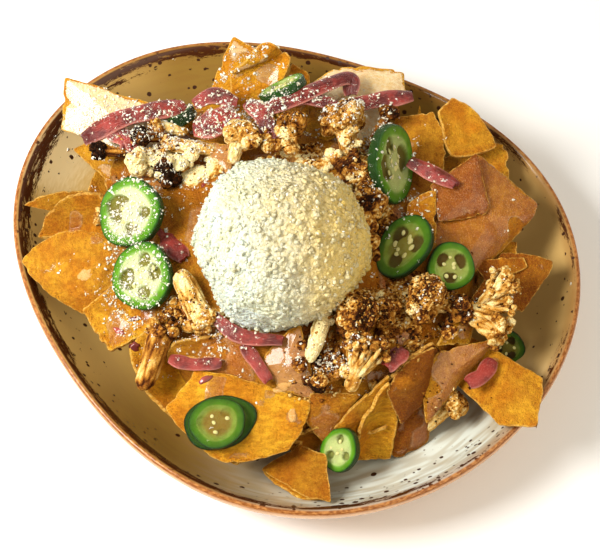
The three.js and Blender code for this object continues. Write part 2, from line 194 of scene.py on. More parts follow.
def apply_modifier(piece: Piece, kind: str, **settings: object) -> None:
    """Adds a modifier with its settings and applies it at once."""
    take_up(piece)
    modifier = piece.modifiers.new(kind.title(), kind)
    for name, value in settings.items():
        setattr(modifier, name, value)
    bpy.ops.object.modifier_apply(modifier=modifier.name)


def thicken(piece: Piece, thick: float, round_off: float) -> None:
    """Gives a sheet its thickness and rounds its edges, both in millimetres."""
    apply_modifier(piece, "SOLIDIFY", thickness=thick * MM, offset=0.0)
    apply_modifier(piece, "BEVEL", width=round_off * MM, segments=2, limit_method="ANGLE",
                   angle_limit=SHARP_EDGE)


def read_vertices(piece: Piece, what: str) -> Array:
    """Three numbers of each vertex, its place in metres or its normal."""
    flat = np.empty(len(piece.data.vertices) * 3, dtype=np.float32)
    piece.data.vertices.foreach_get(what, flat)
    return flat.reshape(-1, 3).astype(float)


def points_of(piece: Piece) -> Array:
    """Vertex places of a piece, in millimetres."""
    return read_vertices(piece, "co") / MM


def normals_of(piece: Piece) -> Array:
    """Vertex normals of a piece."""
    return read_vertices(piece, "normal")


def move_points(piece: Piece, points: Array) -> None:
    """Puts every vertex at a new place, given in millimetres."""
    piece.data.vertices.foreach_set("co", (points * MM).astype(np.float32).ravel())
    piece.data.update()


def keep(piece: Piece, **values: Array | float) -> None:
    """Stores numbers under names, one for each vertex, for the material to read."""
    count = len(piece.data.vertices)
    for name, value in values.items():
        layer = piece.data.attributes.new(name, "FLOAT", "POINT")
        layer.data.foreach_set("value", np.broadcast_to(value, count).astype(np.float32))


def mesh_from(name: str, points: Array, faces: Sequence = (), edges: Sequence = ()) -> Piece:
    """Makes a mesh object from places in millimetres and its faces or edges."""
    mesh = bpy.data.meshes.new(name)
    mesh.from_pydata((points * MM).tolist(), edges, faces)
    piece = bpy.data.objects.new(name, mesh)
    bpy.context.collection.objects.link(piece)
    return piece


def join(pieces: Sequence[Piece], name: str) -> Piece:
    """Joins pieces into one and names it."""
    deselect()
    for piece in pieces:
        piece.select_set(True)
    bpy.context.view_layer.objects.active = pieces[0]
    bpy.ops.object.join()
    pieces[0].name = pieces[0].data.name = name
    return pieces[0]


def dress(piece: Piece, finish: Material, slot: str, nodes: Sequence[str] = ()) -> Piece:
    """Gives a finished piece its material and its body, and hides the nodes it stands for."""
    piece.data.materials.clear()
    piece.data.materials.append(finish)
    piece.data.shade_smooth()
    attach(piece, BODY)
    if nodes:
        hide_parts(*nodes)
    LOG.info("%s: %d faces", piece.name, len(piece.data.polygons))
    return piece


def about_z(spin: float) -> Array:
    """A turn about +Z, in degrees."""
    cos, sin = math.cos(math.radians(spin)), math.sin(math.radians(spin))
    return np.array([[cos, -sin, 0], [sin, cos, 0], [0, 0, 1]])


def rotation_to(direction: Array, spin: float = 0.0) -> Array:
    """A turn that takes +Z to a direction, after a spin about +Z in degrees."""
    turn = Vector((0, 0, 1)).rotation_difference(Vector(direction)).to_matrix()
    return np.array(turn) @ about_z(spin)


class Lump(NamedTuple):
    """A small closed shape that is copied many times."""

    points: Array
    faces: Array


def pebble_lump(divisions: int) -> Lump:
    """A unit ball of triangles, read from a primitive that is then removed."""
    ball = primitive("ico_sphere", subdivisions=divisions, radius=1.0)
    points = points_of(ball) * MM
    faces = np.array([list(face.vertices) for face in ball.data.polygons])
    mesh = ball.data
    bpy.data.objects.remove(ball)
    bpy.data.meshes.remove(mesh)
    return Lump(points, faces)


@dataclass
class Heap:
    """Collects copies of lumps, each with its own numbers, and makes one mesh of them."""

    points: list[Array] = field(default_factory=list)
    faces: list[Array] = field(default_factory=list)
    values: dict[str, list[Array]] = field(default_factory=dict)
    count: int = 0

    def add(self, points: Array, faces: Array, **values: Array | float) -> None:
        """Adds one shape in millimetres, with a number or one number a vertex for each name."""
        self.points.append(points)
        self.faces.append(faces + self.count)
        self.count += len(points)
        for name, value in values.items():
            filled = np.broadcast_to(np.asarray(value, dtype=float), len(points))
            self.values.setdefault(name, []).append(filled)

    def make(self, name: str) -> Piece:
        """Makes the mesh object."""
        faces = np.concatenate(self.faces).tolist()
        piece = mesh_from(name, np.concatenate(self.points), faces)
        keep(piece, **{key: np.concatenate(parts) for key, parts in self.values.items()})
        return piece


# ---- Shader nodes ----


def srgb(red: float, green: float, blue: float) -> Tint:
    """A colour as a screen shows it, from 0 to 255, turned to linear light."""
    linear = [
        value / 12.92 if value <= 0.04045 else ((value + 0.055) / 1.055) ** 2.4
        for value in (red / 255.0, green / 255.0, blue / 255.0)
    ]
    return (*linear, 1.0)


class Nodes:
    """Puts shader nodes in a tree; a value that is a socket is linked, any other is set."""

    def __init__(self, tree: Tree) -> None:
        """Starts from an empty tree."""
        self.tree = tree
        tree.nodes.clear()

    def add(self, kind: str, inputs: dict, **settings: object) -> bpy.types.Node:
        """Adds a node.

        Args:
            kind: class name of the node without the leading ShaderNode.
            inputs: value or socket for each input name or number.
            settings: properties of the node itself.

        Returns:
            The node.
        """
        node = self.tree.nodes.new(kind if kind.startswith("Node") else f"ShaderNode{kind}")
        for name, value in settings.items():
            setattr(node, name, value)
        for key, value in inputs.items():
            if isinstance(value, Socket):
                self.tree.links.new(value, node.inputs[key])
            elif value is not None:
                node.inputs[key].default_value = value
        return node

    def place(self) -> Socket:
        """Place on the object, in metres."""
        return self.add("TexCoord", {}).outputs["Object"]

    def kept(self, name: str) -> Socket:
        """The number that the mesh keeps under a name."""
        return self.add("Attribute", {}, attribute_name=name).outputs["Fac"]

    def axes(self, place: Socket) -> list[Socket]:
        """The three numbers of a place."""
        return list(self.add("SeparateXYZ", {0: place}).outputs)

    def noise(
        self, scale: object, detail: float = 3.0, rough: float = 0.55, vector: Socket | None = None
    ) -> Socket:
        """Soft noise from 0 to 1."""
        inputs = {"Scale": scale, "Detail": detail, "Roughness": rough, "Vector": vector}
        return self.add("TexNoise", inputs).outputs["Fac"]

    def cells(self, scale: object, vector: Socket) -> bpy.types.bpy_prop_collection:
        """What is known of the cells round scattered points."""
        return self.add("TexVoronoi", {"Scale": scale, "Vector": vector}).outputs

    def math(self, kind: str, first: object, second: object = None) -> Socket:
        """One sum on two numbers, kept from 0 to 1."""
        inputs = {0: first, 1: second}
        return self.add("Math", inputs, operation=kind, use_clamp=True).outputs[0]

    def times(self, first: object, second: object) -> Socket:
        """The product of two numbers, kept from 0 to 1."""
        return self.math("MULTIPLY", first, second)

    def scaled(self, value: object, factor: object, plus: object) -> Socket:
        """A value times a factor, plus a third number, however large."""
        inputs = {0: value, 1: factor, 2: plus}
        return self.add("Math", inputs, operation="MULTIPLY_ADD").outputs[0]

    def span(self, value: Socket, low: float, high: float, out: tuple = (0.0, 1.0)) -> Socket:
        """Turns low to high into a smooth step over the range of out."""
        inputs = {"Value": value, 1: low, 2: high, 3: out[0], 4: out[1]}
        return self.add("MapRange", inputs, interpolation_type="SMOOTHSTEP").outputs[0]

    def blend(self, share: object, first: object, second: object, kind: str = "MIX") -> Socket:
        """Mixes two colours."""
        inputs = {0: share, 6: first, 7: second}
        return self.add("Mix", inputs, data_type="RGBA", blend_type=kind).outputs[2]

    def over(self, under: object, colour: object, value: Socket, low: float, high: float,
             most: float = 1.0) -> Socket:
        """Lays a colour over another where a value goes from low to high."""
        return self.blend(self.span(value, low, high, (0.0, most)), under, colour)

    def ramp(self, value: Socket, stops: Sequence[tuple[float, Tint]]) -> Socket:
        """Colours along a value."""
        node = self.add("ValToRGB", {"Fac": value})
        elements = node.color_ramp.elements
        while len(elements) < len(stops):
            elements.new(0.5)
        for element, (position, colour) in zip(elements, stops):
            element.position = position
            element.color = colour
        return node.outputs["Color"]

    def bump(self, height: Socket, depth: float, under: Socket | None = None) -> Socket:
        """Relief of a depth in metres."""
        inputs = {"Height": height, "Strength": 1.0, "Distance": depth, "Normal": under}
        return self.add("Bump", inputs).outputs["Normal"]

    def group(self, tree: Tree, inputs: dict) -> bpy.types.bpy_prop_collection:
        """Places a shared effect, spread over the object, and gives what comes out."""
        return self.add("Group", {"Vector": self.place(), **inputs}, node_tree=tree).outputs

    def surface(self, inputs: dict) -> None:
        """Ends the tree in a Principled surface."""
        shader = self.add("BsdfPrincipled", inputs)
        self.add("OutputMaterial", {"Surface": shader.outputs[0]})


def new_effect(
    name: str, takes: dict[str, str], gives: dict[str, str]
) -> tuple[Tree, Nodes, bpy.types.bpy_prop_collection]:
    """Makes an empty shared effect that takes a place, a scale and more.

    Args:
        name: name of the effect.
        takes: name and kind of each further value that goes in.
        gives: name and kind of each value that comes out.
    """
    tree = bpy.data.node_groups.new(name, "ShaderNodeTree")
    takes = {"Vector": "Vector", "Scale": "Float", **takes}
    for way, sockets in (("INPUT", takes), ("OUTPUT", gives)):
        for label, kind in sockets.items():
            tree.interface.new_socket(name=label, in_out=way, socket_type=f"NodeSocket{kind}")
    kit = Nodes(tree)
    return tree, kit, kit.add("NodeGroupInput", {}).outputs


@dataclass(frozen=True)
class Effects:
    """The effects that more than one finish uses."""

    specks: Tree
    crumb: Tree
    tint: Tree

    @classmethod
    def build(cls) -> Effects:
        """Builds the shared effects."""
        return cls(cls._specks(), cls._crumb(), cls._tint())

    @staticmethod
    def _specks() -> Tree:
        """Scattered flecks, gathered in clusters."""
        tree, kit, given = new_effect(
            "scattered_specks", {"Size": "Float", "Share": "Float"}, {"Mask": "Float"})
        cells = kit.cells(given["Scale"], given["Vector"])
        noise = kit.noise(given["Scale"], 2.0, 0.5, given["Vector"])
        pick = kit.add("SeparateColor", {0: cells["Color"]}).outputs
        chosen = kit.math("LESS_THAN", pick[0], given["Share"])
        ragged = kit.scaled(noise, 0.45, cells["Distance"])
        reach = kit.scaled(given["Size"], pick[1], 0.34)
        edge = kit.scaled(reach, 1.0, -0.07)
        inside = kit.add("MapRange", {"Value": ragged, 1: reach, 2: edge, 3: 0.0, 4: 1.0})
        kit.add("NodeGroupOutput", {"Mask": kit.times(inside.outputs[0], chosen)})
        return tree

    @staticmethod
    def _crumb() -> Tree:
        """Fine crumbly relief, with grains, and a mask of the crevices between them for painted shade.
        """
        tree, kit, given = new_effect("crumb_relief", {}, {"Height": "Float", "Pores": "Float"})
        cells = kit.cells(given["Scale"], given["Vector"])
        noise = kit.noise(given["Scale"], 5.0, 0.65, given["Vector"])
        height = kit.scaled(cells["Distance"], -0.6, noise)
        pores = kit.span(cells["Distance"], 0.55, 0.85)
        kit.add("NodeGroupOutput", {"Height": height, "Pores": pores})
        return tree

    @staticmethod
    def _tint() -> Tree:
        """Uneven colour between two tints."""
        tree, kit, given = new_effect(
            "uneven_tint", {"First": "Color", "Second": "Color"}, {"Color": "Color"})
        noise = kit.noise(given["Scale"], 4.0, 0.6, given["Vector"])
        colour = kit.over(given["First"], given["Second"], noise, 0.36, 0.66)
        kit.add("NodeGroupOutput", {"Color": colour})
        return tree

    def flecks(self, kit: Nodes, scale: float, size: float, share: object) -> Socket:
        """Puts flecks in a material: how close, how large and how many."""
        return kit.group(self.specks, {"Scale": scale, "Size": size, "Share": share})["Mask"]

    def uneven(self, kit: Nodes, scale: float, first: Tint, second: Tint) -> Socket:
        """Puts an uneven colour in a material."""
        inputs = {"Scale": scale, "First": first, "Second": second}
        return kit.group(self.tint, inputs)["Color"]


def new_material(name: str) -> tuple[Material, Nodes]:
    """A material with an empty tree."""
    material = bpy.data.materials.new(name)
    material.use_nodes = True
    return material, Nodes(material.node_tree)


# ---- Finishes ----


def glow(weight: float, *reach: float) -> dict[str, object]:
    """Light that passes through a surface: its share, and its reach in metres for each colour."""
    return {"Subsurface Weight": weight, "Subsurface Radius": reach, "Subsurface Scale": 1.0}


@dataclass(frozen=True)
class PlateGlaze:
    """Reactive glaze: tan to pale grey towards the front right, that paleness partly painted light;
    painted light on the shaded left and right walls; iron flecks and a burnt line.
    """

    tan: Tint = srgb(140, 106, 48)
    pale: Tint = srgb(214, 220, 210)
    clay: Tint = srgb(200, 154, 114)
    iron: Tint = srgb(58, 28, 10)
    spill: Tint = srgb(232, 208, 156)

    def material(self, effects: Effects) -> Material:
        """Builds the material."""
        material, kit = new_material("speckled_glaze")
        place = kit.place()
        share = kit.kept("share")
        x, y, _ = kit.axes(place)
        # Paler towards the front right: partly the glaze's own colour, partly painted light on the
        # wall that faces the key light.
        to_front = kit.times(kit.span(y, -0.03, -0.1), kit.span(x, -0.06, 0.05))
        drift = kit.span(kit.noise(11.0, 0.0), 0.3, 0.6, (0.75, 1.0))
        glaze = kit.blend(kit.times(to_front, drift), self.tan, self.pale)
        glaze = kit.over(glaze, srgb(146, 116, 50), kit.noise(20.0, 0.0), 0.35, 0.65, 0.35)
        # Painted light: the left and right inner walls, which lie in shade, are painted lighter.
        to_left = kit.times(kit.span(x, -0.06, -0.11, (0.0, 0.9)), kit.span(y, -0.105, -0.05))
        glaze = kit.blend(to_left, glaze, srgb(204, 168, 98))
        to_right = kit.times(kit.span(x, 0.08, 0.12, (0.0, 0.8)), kit.span(y, 0.1, 0.06))
        glaze = kit.blend(to_right, glaze, srgb(196, 160, 98))
        reach = kit.add("VectorMath", {0: place, 1: (-0.13, 0.07, 0.03)}, operation="DISTANCE")
        spilt = kit.scaled(kit.noise(60.0), 0.02, reach.outputs["Value"])
        glaze = kit.over(glaze, self.spill, spilt, 0.044, 0.026, 0.8)

        sway = kit.scaled(kit.noise(95.0, 5.0, 0.75), 0.05, share)
        heavy = kit.span(kit.noise(9.0, 1.0), 0.4, 0.62, (-0.006, 0.01))
        sway = kit.scaled(sway, 1.0, kit.scaled(x, -0.11, heavy))
        line = kit.times(kit.span(sway, 0.985, 0.991), kit.span(share, 0.981, 0.976))
        breaks = kit.span(kit.noise(26.0, 5.0, 0.75), 0.38, 0.46, (0.25, 1.0))
        line = kit.times(line, breaks)
        near_rim = kit.span(share, 0.8, 0.96, (0.14, 1.0))
        cluster = kit.span(kit.noise(19.0, 2.0), 0.36, 0.56)
        cluster = kit.math("MAXIMUM", cluster, kit.times(to_front, 0.6))
        few = kit.math(
            "MAXIMUM", kit.span(x, 0.105, 0.08, (0.3, 1.0)), kit.span(y, -0.03, -0.07))
        chance = kit.times(kit.times(near_rim, cluster), few)
        flecks = effects.flecks(kit, 290.0, 0.32, kit.times(chance, 0.75))
        dots = effects.flecks(kit, 560.0, 0.1, 0.04)
        marks = kit.math("MAXIMUM", flecks, kit.times(dots, 0.8))
        glaze = kit.over(glaze, srgb(132, 84, 36), share, 0.945, 0.978, 0.6)
        inner = kit.blend(line, glaze, srgb(66, 32, 12))
        inner = kit.blend(marks, inner, self.iron)

        edge = kit.over(srgb(128, 72, 28), srgb(176, 118, 62), kit.noise(120.0, 4.0), 0.4, 0.65)
        inner = kit.over(inner, edge, share, 0.98, 0.988)
        outer = effects.uneven(kit, 45.0, self.clay, srgb(218, 172, 130))
        outer = kit.blend(effects.flecks(kit, 300.0, 0.1, 0.06), outer, self.iron)
        kit.surface({
            "Base Color": kit.blend(kit.kept("inside"), outer, inner),
            "Roughness": kit.span(marks, 0.0, 1.0, (0.2, 0.4)), "Coat Weight": 0.1,
            "Coat Roughness": 0.08, "Specular IOR Level": 0.25})
        return material


@dataclass(frozen=True)
class TortillaFinish:
    """Fried corn: blotched golden, with a painted highlight along the cut edge, pits, toast marks and
    sauce.
    """

    gold: Tint = srgb(240, 180, 42)
    amber: Tint = srgb(218, 138, 18)
    brown: Tint = srgb(140, 72, 4)
    # Pale painted highlight where the thin cut edge catches the light.
    rim: Tint = srgb(246, 196, 98)
    rose_sauce: Tint = srgb(160, 84, 22)
    milk_sauce: Tint = srgb(250, 228, 184)

    def material(self, effects: Effects) -> Material:
        """Builds the material."""
        material, kit = new_material("fried_tortilla")
        tint = effects.uneven(kit, 60.0, self.gold, self.amber)
        # Toward brown by tone: toasting, and painted shade on chips that lie in shade.
        tint = kit.blend(kit.kept("tone"), tint, self.brown)
        mottle = kit.noise(260.0, 5.0, 0.65)
        tint = kit.over(tint, self.brown, mottle, 0.52, 0.72, 0.4)
        tint = kit.over(tint, srgb(255, 190, 52), mottle, 0.46, 0.3, 0.5)
        grain = kit.noise(1100.0, 3.0, 0.7)
        tint = kit.over(tint, self.brown, grain, 0.55, 0.7, 0.42)
        tint = kit.over(tint, srgb(255, 206, 100), grain, 0.43, 0.3, 0.35)
        blister = kit.kept("blister")
        tint = kit.over(tint, self.amber, blister, 0.25, 0.9, 0.4)
        inset = kit.kept("inset")
        toast = kit.times(kit.span(inset, 7.0, 1.0), kit.span(kit.noise(130.0), 0.48, 0.66))
        tint = kit.blend(kit.times(toast, 0.5), tint, self.brown)
        pits = effects.flecks(kit, 300.0, 0.02, 0.03)
        tint = kit.blend(kit.times(pits, 0.9), tint, srgb(58, 26, 8))
        # Painted highlight: a pale band along the cut edge, broken up by noise.
        margin = kit.scaled(kit.noise(80.0), 1.3, inset)
        crisp = kit.span(kit.noise(55.0, 2.0), 0.36, 0.6, (0.15, 0.85))
        tint = kit.blend(kit.times(kit.span(margin, 1.5, 0.8), crisp), tint, self.rim)

        field = kit.scaled(kit.noise(190.0), 0.16, kit.kept("sauce"))
        drawn = kit.scaled(kit.noise(110.0, 2.0), -4.0, inset)
        bare = kit.add("MapRange", {"Value": drawn, 1: -1.6, 2: 0.6, 3: -0.6, 4: 0.0}).outputs[0]
        field = kit.scaled(field, 1.0, bare)
        film = kit.span(field, 0.075, 0.105)
        ridge = kit.times(kit.span(field, 0.07, 0.1), kit.span(field, 0.17, 0.11))
        milk = kit.kept("milk")
        thick = kit.span(kit.noise(60.0), 0.35, 0.65, (0.6, 1.0))
        cover = kit.times(kit.span(milk, 0.0, 1.0, (0.55, 0.95)), thick)
        sauce = kit.over(self.rose_sauce, self.milk_sauce, milk, 0.2, 1.0)
        sauce = kit.blend(kit.times(ridge, 0.3), sauce, self.milk_sauce)
        tint = kit.blend(kit.times(film, cover), tint, sauce)

        shade = kit.span(kit.noise(38.0, 3.0, 0.6), 0.34, 0.66, (0.0, 0.8))
        shade = kit.times(shade, kit.span(milk, 0.3, 1.0, (1.0, 0.1)))
        tint = kit.blend(shade, tint, srgb(214, 196, 170), "MULTIPLY")
        haze = kit.times(film, kit.span(kit.noise(150.0, 5.0, 0.7), 0.5, 0.7, (0.0, 0.4)))
        tint = kit.blend(haze, tint, srgb(232, 176, 116))

        relief = kit.group(effects.crumb, {"Scale": 700.0})["Height"]
        dry = kit.times(relief, kit.span(film, 0.0, 1.0, (1.0, 0.1)))
        normal = kit.bump(dry, 0.0006, kit.bump(kit.noise(210.0), 0.0011))
        kit.surface({
            "Base Color": tint, "Roughness": kit.span(film, 0.0, 1.0, (0.5, 0.2)),
            "Specular IOR Level": 0.14, **glow(0.08, 0.004, 0.0018, 0.0005),
            "Coat Weight": kit.times(film, 0.5), "Coat Roughness": 0.1,
            "Normal": kit.bump(film, 0.0006, normal)})
        return material


@dataclass(frozen=True)
class GuacamoleFinish:
    """Pale, grainy guacamole, with painted warm shade that makes it yellower on its right."""

    light: Tint = srgb(216, 231, 224)
    # These two yellows are painted warm shade, for the side away from the key light.
    warm: Tint = srgb(212, 178, 100)
    ripe: Tint = srgb(255, 214, 92)

    def material(self, effects: Effects) -> Material:
        """Builds the material."""
        material, kit = new_material("grainy_guacamole")
        tint = effects.uneven(kit, 60.0, self.light, srgb(214, 218, 184))
        x, _, z = kit.axes(kit.place())
        # Painted warm shade: yellower towards the upper right, the side away from the key light, with
        # speckles, over the guacamole's own pale colour.
        lean = kit.scaled(kit.noise(45.0, 2.0), 0.05, kit.scaled(z, 0.7, x))
        ripe = kit.span(lean, 0.06, 0.11)
        tint = kit.blend(kit.times(ripe, 0.65), tint, self.warm)
        tint = kit.over(tint, self.ripe, x, -0.005, 0.028, 0.85)
        speckle = kit.noise(420.0, 4.0, 0.7)
        warmer = kit.times(ripe, kit.span(speckle, 0.5, 0.66, (0.0, 0.6)))
        tint = kit.blend(warmer, tint, srgb(206, 172, 84))
        tint = kit.over(tint, srgb(246, 250, 226), speckle, 0.46, 0.34, 0.6)
        flecks = effects.flecks(kit, 600.0, 0.2, 0.05)
        tint = kit.blend(kit.times(flecks, 0.4), tint, srgb(198, 176, 96))
        tint = kit.blend(kit.times(kit.kept("loose"), 0.7), tint, srgb(250, 246, 214))
        crumb = kit.group(effects.crumb, {"Scale": 640.0})
        # Painted shade: tan in the crevices between the grains.
        tint = kit.blend(kit.times(crumb["Pores"], 0.4), tint, srgb(176, 152, 78))
        kit.surface({
            "Base Color": tint, "Roughness": 0.8, "Specular IOR Level": 0.1,
            **glow(0.12, 0.003, 0.0025, 0.001), "Normal": kit.bump(crumb["Height"], 0.002)})
        return material


@dataclass(frozen=True)
class JalapenoFinish:
    """Green chilli: dark skin, pale wet flesh, yellow-green ribs and cream seeds."""

    skin: Tint = srgb(26, 70, 6)
    flesh: Tint = srgb(110, 168, 26)
    rib: Tint = srgb(196, 208, 104)
    seed: Tint = srgb(232, 226, 150)
    # Dark brown, painted as the shade at the bottom of the hollows.
    hollow: Tint = srgb(98, 60, 18)

    def material(self, effects: Effects) -> Material:
        """Builds the material."""
        material, kit = new_material("green_chilli")
        across = kit.ramp(kit.kept("reach"), [
            (0.0, self.rib), (0.45, srgb(184, 204, 92)), (0.68, srgb(168, 200, 84)),
            (0.74, self.flesh), (0.9, srgb(84, 146, 14)), (0.955, srgb(46, 104, 6)),
            (0.99, self.skin)])
        mottle = effects.uneven(kit, 260.0, (1, 1, 1, 1), srgb(214, 206, 120))
        tint = kit.blend(0.6, across, mottle, "MULTIPLY")
        ripe = kit.times(kit.kept("ripe"), kit.span(kit.noise(240.0), 0.36, 0.56))
        tint = kit.blend(ripe, tint, srgb(176, 112, 34))
        settled = kit.times(kit.kept("dusty"), kit.span(kit.kept("hollow"), 0.0, 0.7, (1.0, 0.0)))
        dusty = kit.times(settled, kit.span(kit.noise(420.0, 4.0), 0.4, 0.52))
        # Painted shade: the hollows are coloured dark brown.
        tint = kit.blend(kit.kept("hollow"), tint, self.hollow)
        tint = kit.blend(dusty, tint, srgb(240, 240, 208))
        # Painted shade: slices that lie in shade are darkened and yellowed.
        tint = kit.blend(kit.kept("dusk"), tint, srgb(118, 112, 50), "MULTIPLY")
        kit.surface({
            "Base Color": kit.blend(kit.kept("seed"), tint, self.seed), "Roughness": 0.22,
            "Specular IOR Level": 0.35, **glow(0.08, 0.0015, 0.003, 0.0006),
            "Normal": kit.bump(kit.noise(600.0, 4.0), 0.0004)})
        return material


@dataclass(frozen=True)
class OnionFinish:
    """Pickled red onion: deep magenta with fine veins, pink where it is thin."""

    deep: Tint = srgb(84, 14, 12)
    bright: Tint = srgb(154, 52, 44)
    thin: Tint = srgb(224, 150, 132)

    def material(self, effects: Effects) -> Material:
        """Builds the material."""
        material, kit = new_material("pickled_onion")
        tint = effects.uneven(kit, 120.0, self.deep, self.bright)
        across = kit.kept("across")
        strip = kit.add("CombineXYZ", {0: across, 1: kit.kept("along"), 2: kit.kept("strand")})
        drawn = kit.add("Mapping", {"Vector": strip.outputs[0], "Scale": (1.6, 0.5, 3.0)})
        veins = kit.noise(9.0, 3.0, 0.6, drawn.outputs[0])
        tint = kit.over(tint, self.thin, veins, 0.5, 0.7, 0.3)
        tint = kit.over(tint, self.thin, kit.math("ABSOLUTE", across), 0.7, 1.0, 0.45)
        kit.surface({
            "Base Color": tint, "Roughness": 0.16,
            "Specular IOR Level": 0.45, **glow(0.06, 0.002, 0.0006, 0.0006),
            "Normal": kit.bump(veins, 0.0006)})
        return material


@dataclass(frozen=True)
class CauliflowerFinish:
    """Roasted cauliflower: cream stalks, golden crumb and charred tips."""

    cream: Tint = srgb(248, 230, 170)
    gold: Tint = srgb(198, 136, 48)
    brown: Tint = srgb(118, 64, 18)
    char: Tint = srgb(26, 12, 5)

    def material(self, effects: Effects) -> Material:
        """Builds the material."""
        material, kit = new_material("roasted_cauliflower")
        crumb = kit.group(effects.crumb, {"Scale": 900.0})
        roast = kit.scaled(kit.noise(150.0, 3.0, 0.65), 0.45, kit.kept("roast"))
        roast = kit.scaled(kit.noise(620.0, 4.0, 0.75), 0.6, roast)
        tint = kit.ramp(kit.math("SUBTRACT", roast, 0.45), [
            (0.02, self.cream), (0.14, srgb(232, 192, 112)), (0.3, self.gold),
            (0.52, self.brown), (0.7, srgb(60, 27, 8)), (0.88, self.char)])
        # Painted shade: brown in the crevices between the grains.
        tint = kit.blend(kit.times(crumb["Pores"], 0.35), tint, srgb(110, 62, 18))
        kit.surface({
            "Base Color": tint, "Roughness": 0.8, "Specular IOR Level": 0.08,
            **glow(0.05, 0.002, 0.0012, 0.0006),
            "Normal": kit.bump(crumb["Height"], 0.0009)})
        return material


@dataclass(frozen=True)
class CheeseFinish:
    """Dry grated white cheese."""

    white: Tint = srgb(252, 248, 232)
    cream: Tint = srgb(244, 232, 196)

    def material(self, effects: Effects) -> Material:
        """Builds the material."""
        material, kit = new_material("grated_cheese")
        kit.surface({
            "Base Color": effects.uneven(kit, 300.0, self.white, self.cream),
            "Roughness": 0.6, **glow(0.3, 0.002, 0.0016, 0.001),
            "Normal": kit.bump(kit.noise(1500.0), 0.0002)})
        return material


@dataclass(frozen=True)
class SauceFinish:
    """Warm cheese sauce, thin and shiny."""

    milky: Tint = srgb(224, 180, 116)
    thin: Tint = srgb(214, 150, 70)

    def material(self) -> Material:
        """Builds the material."""
        material, kit = new_material("cheese_sauce")
        tint = kit.over(self.thin, self.milky, kit.noise(90.0), 0.35, 0.65)
        kit.surface({
            "Base Color": tint, "Roughness": 0.25, "Specular IOR Level": 0.4,
            **glow(0.2, 0.003, 0.002, 0.001), "Normal": kit.bump(kit.noise(300.0), 0.0004)})
        return material


@dataclass(frozen=True)
class StudioFloor:
    """Plain pale floor."""

    white: Tint = (0.86, 0.86, 0.86, 1.0)

    def material(self) -> Material:
        """Builds the material."""
        material, kit = new_material("studio_floor")
        kit.surface({"Base Color": self.white, "Roughness": 0.9})
        return material


# ---- What lies on the plate, in millimetres ----

PLATE_RADIUS = 136.4
PLATE_AT = (-0.9, 2.2)
CHIP_THICK = 1.7
CORE_AT = (-2.0, -4.0)
SCOOP_RADIUS = 41.0
SCOOP_AT = (-5.5, -15.9, 72.0)
SCOOP_FLATS = (
    ((0.71, -0.61, -0.35), 0.13, 4), ((-0.92, -0.34, -0.2), 0.11, 7), ((0.34, 0.81, 0.47), 0.05, 9))


def rim_radius(angle: Array) -> Array:
    """Radius of the plate's rim in a direction in radians."""
    oval = 0.08 * np.cos(2 * (angle + math.radians(37)))
    lobe = 0.036 * np.cos(3 * (angle - math.radians(19)))
    return PLATE_RADIUS * (1 + oval + lobe)


def pebble(points: Array) -> Array:
    """Widens a turned shape to the outline of the plate."""
    angle = np.arctan2(points[:, 1], points[:, 0])
    scale = rim_radius(angle) / PLATE_RADIUS
    return np.column_stack([
        points[:, 0] * scale + PLATE_AT[0], points[:, 1] * scale + PLATE_AT[1], points[:, 2]])


class ChipRow(NamedTuple):
    """One chip: its corners, how much its middle is raised, how dark it is from toasting and from
    painted shade on chips that lie in shade, how sauced it is, how milky the sauce is and how far each
    side bows outwards.
    """

    corners: list[Place]
    crown: float
    tone: float
    sauce: float
    milk: float = 0.3
    bows: Sequence[float] = ()


class Pith(NamedTuple):
    """The middle of a slice: its hollows as direction and size, and what is in it."""

    hollows: Sequence[tuple[float, float]]
    depth: float
    ripe: float
    dusty: float
    seeds: int


class SliceRow(NamedTuple):
    """One slice of jalapeno, and which way its cut face looks, as azimuth and elevation."""

    at: Place
    facing: tuple[float, float]
    radius: float
    thick: float
    long: float
    spin: float
    # how much painted shade darkens the slice
    dusk: float
    pith: Pith


class StripRow(NamedTuple):
    """One strip of onion and the points that it runs through."""

    places: list[Place]
    width: float
    thick: float = 3


class Cut(Enum):
    """What a piece of cauliflower mostly is."""

    HEAD = "a round head of curd"
    STALK = "a long bare stalk"
    FAN = "a torn fan of fine branches"


class FloretRow(NamedTuple):
    """One floret: the foot of its stem, its head, the head's radius, how charred, which cut."""

    foot: Place
    head: Place
    radius: float
    char: float
    cut: Cut = Cut.HEAD

    def ends(self) -> tuple[Array, Array]:
        """The foot and the head, to reckon with."""
        return np.array(self.foot, dtype=float), np.array(self.head, dtype=float)
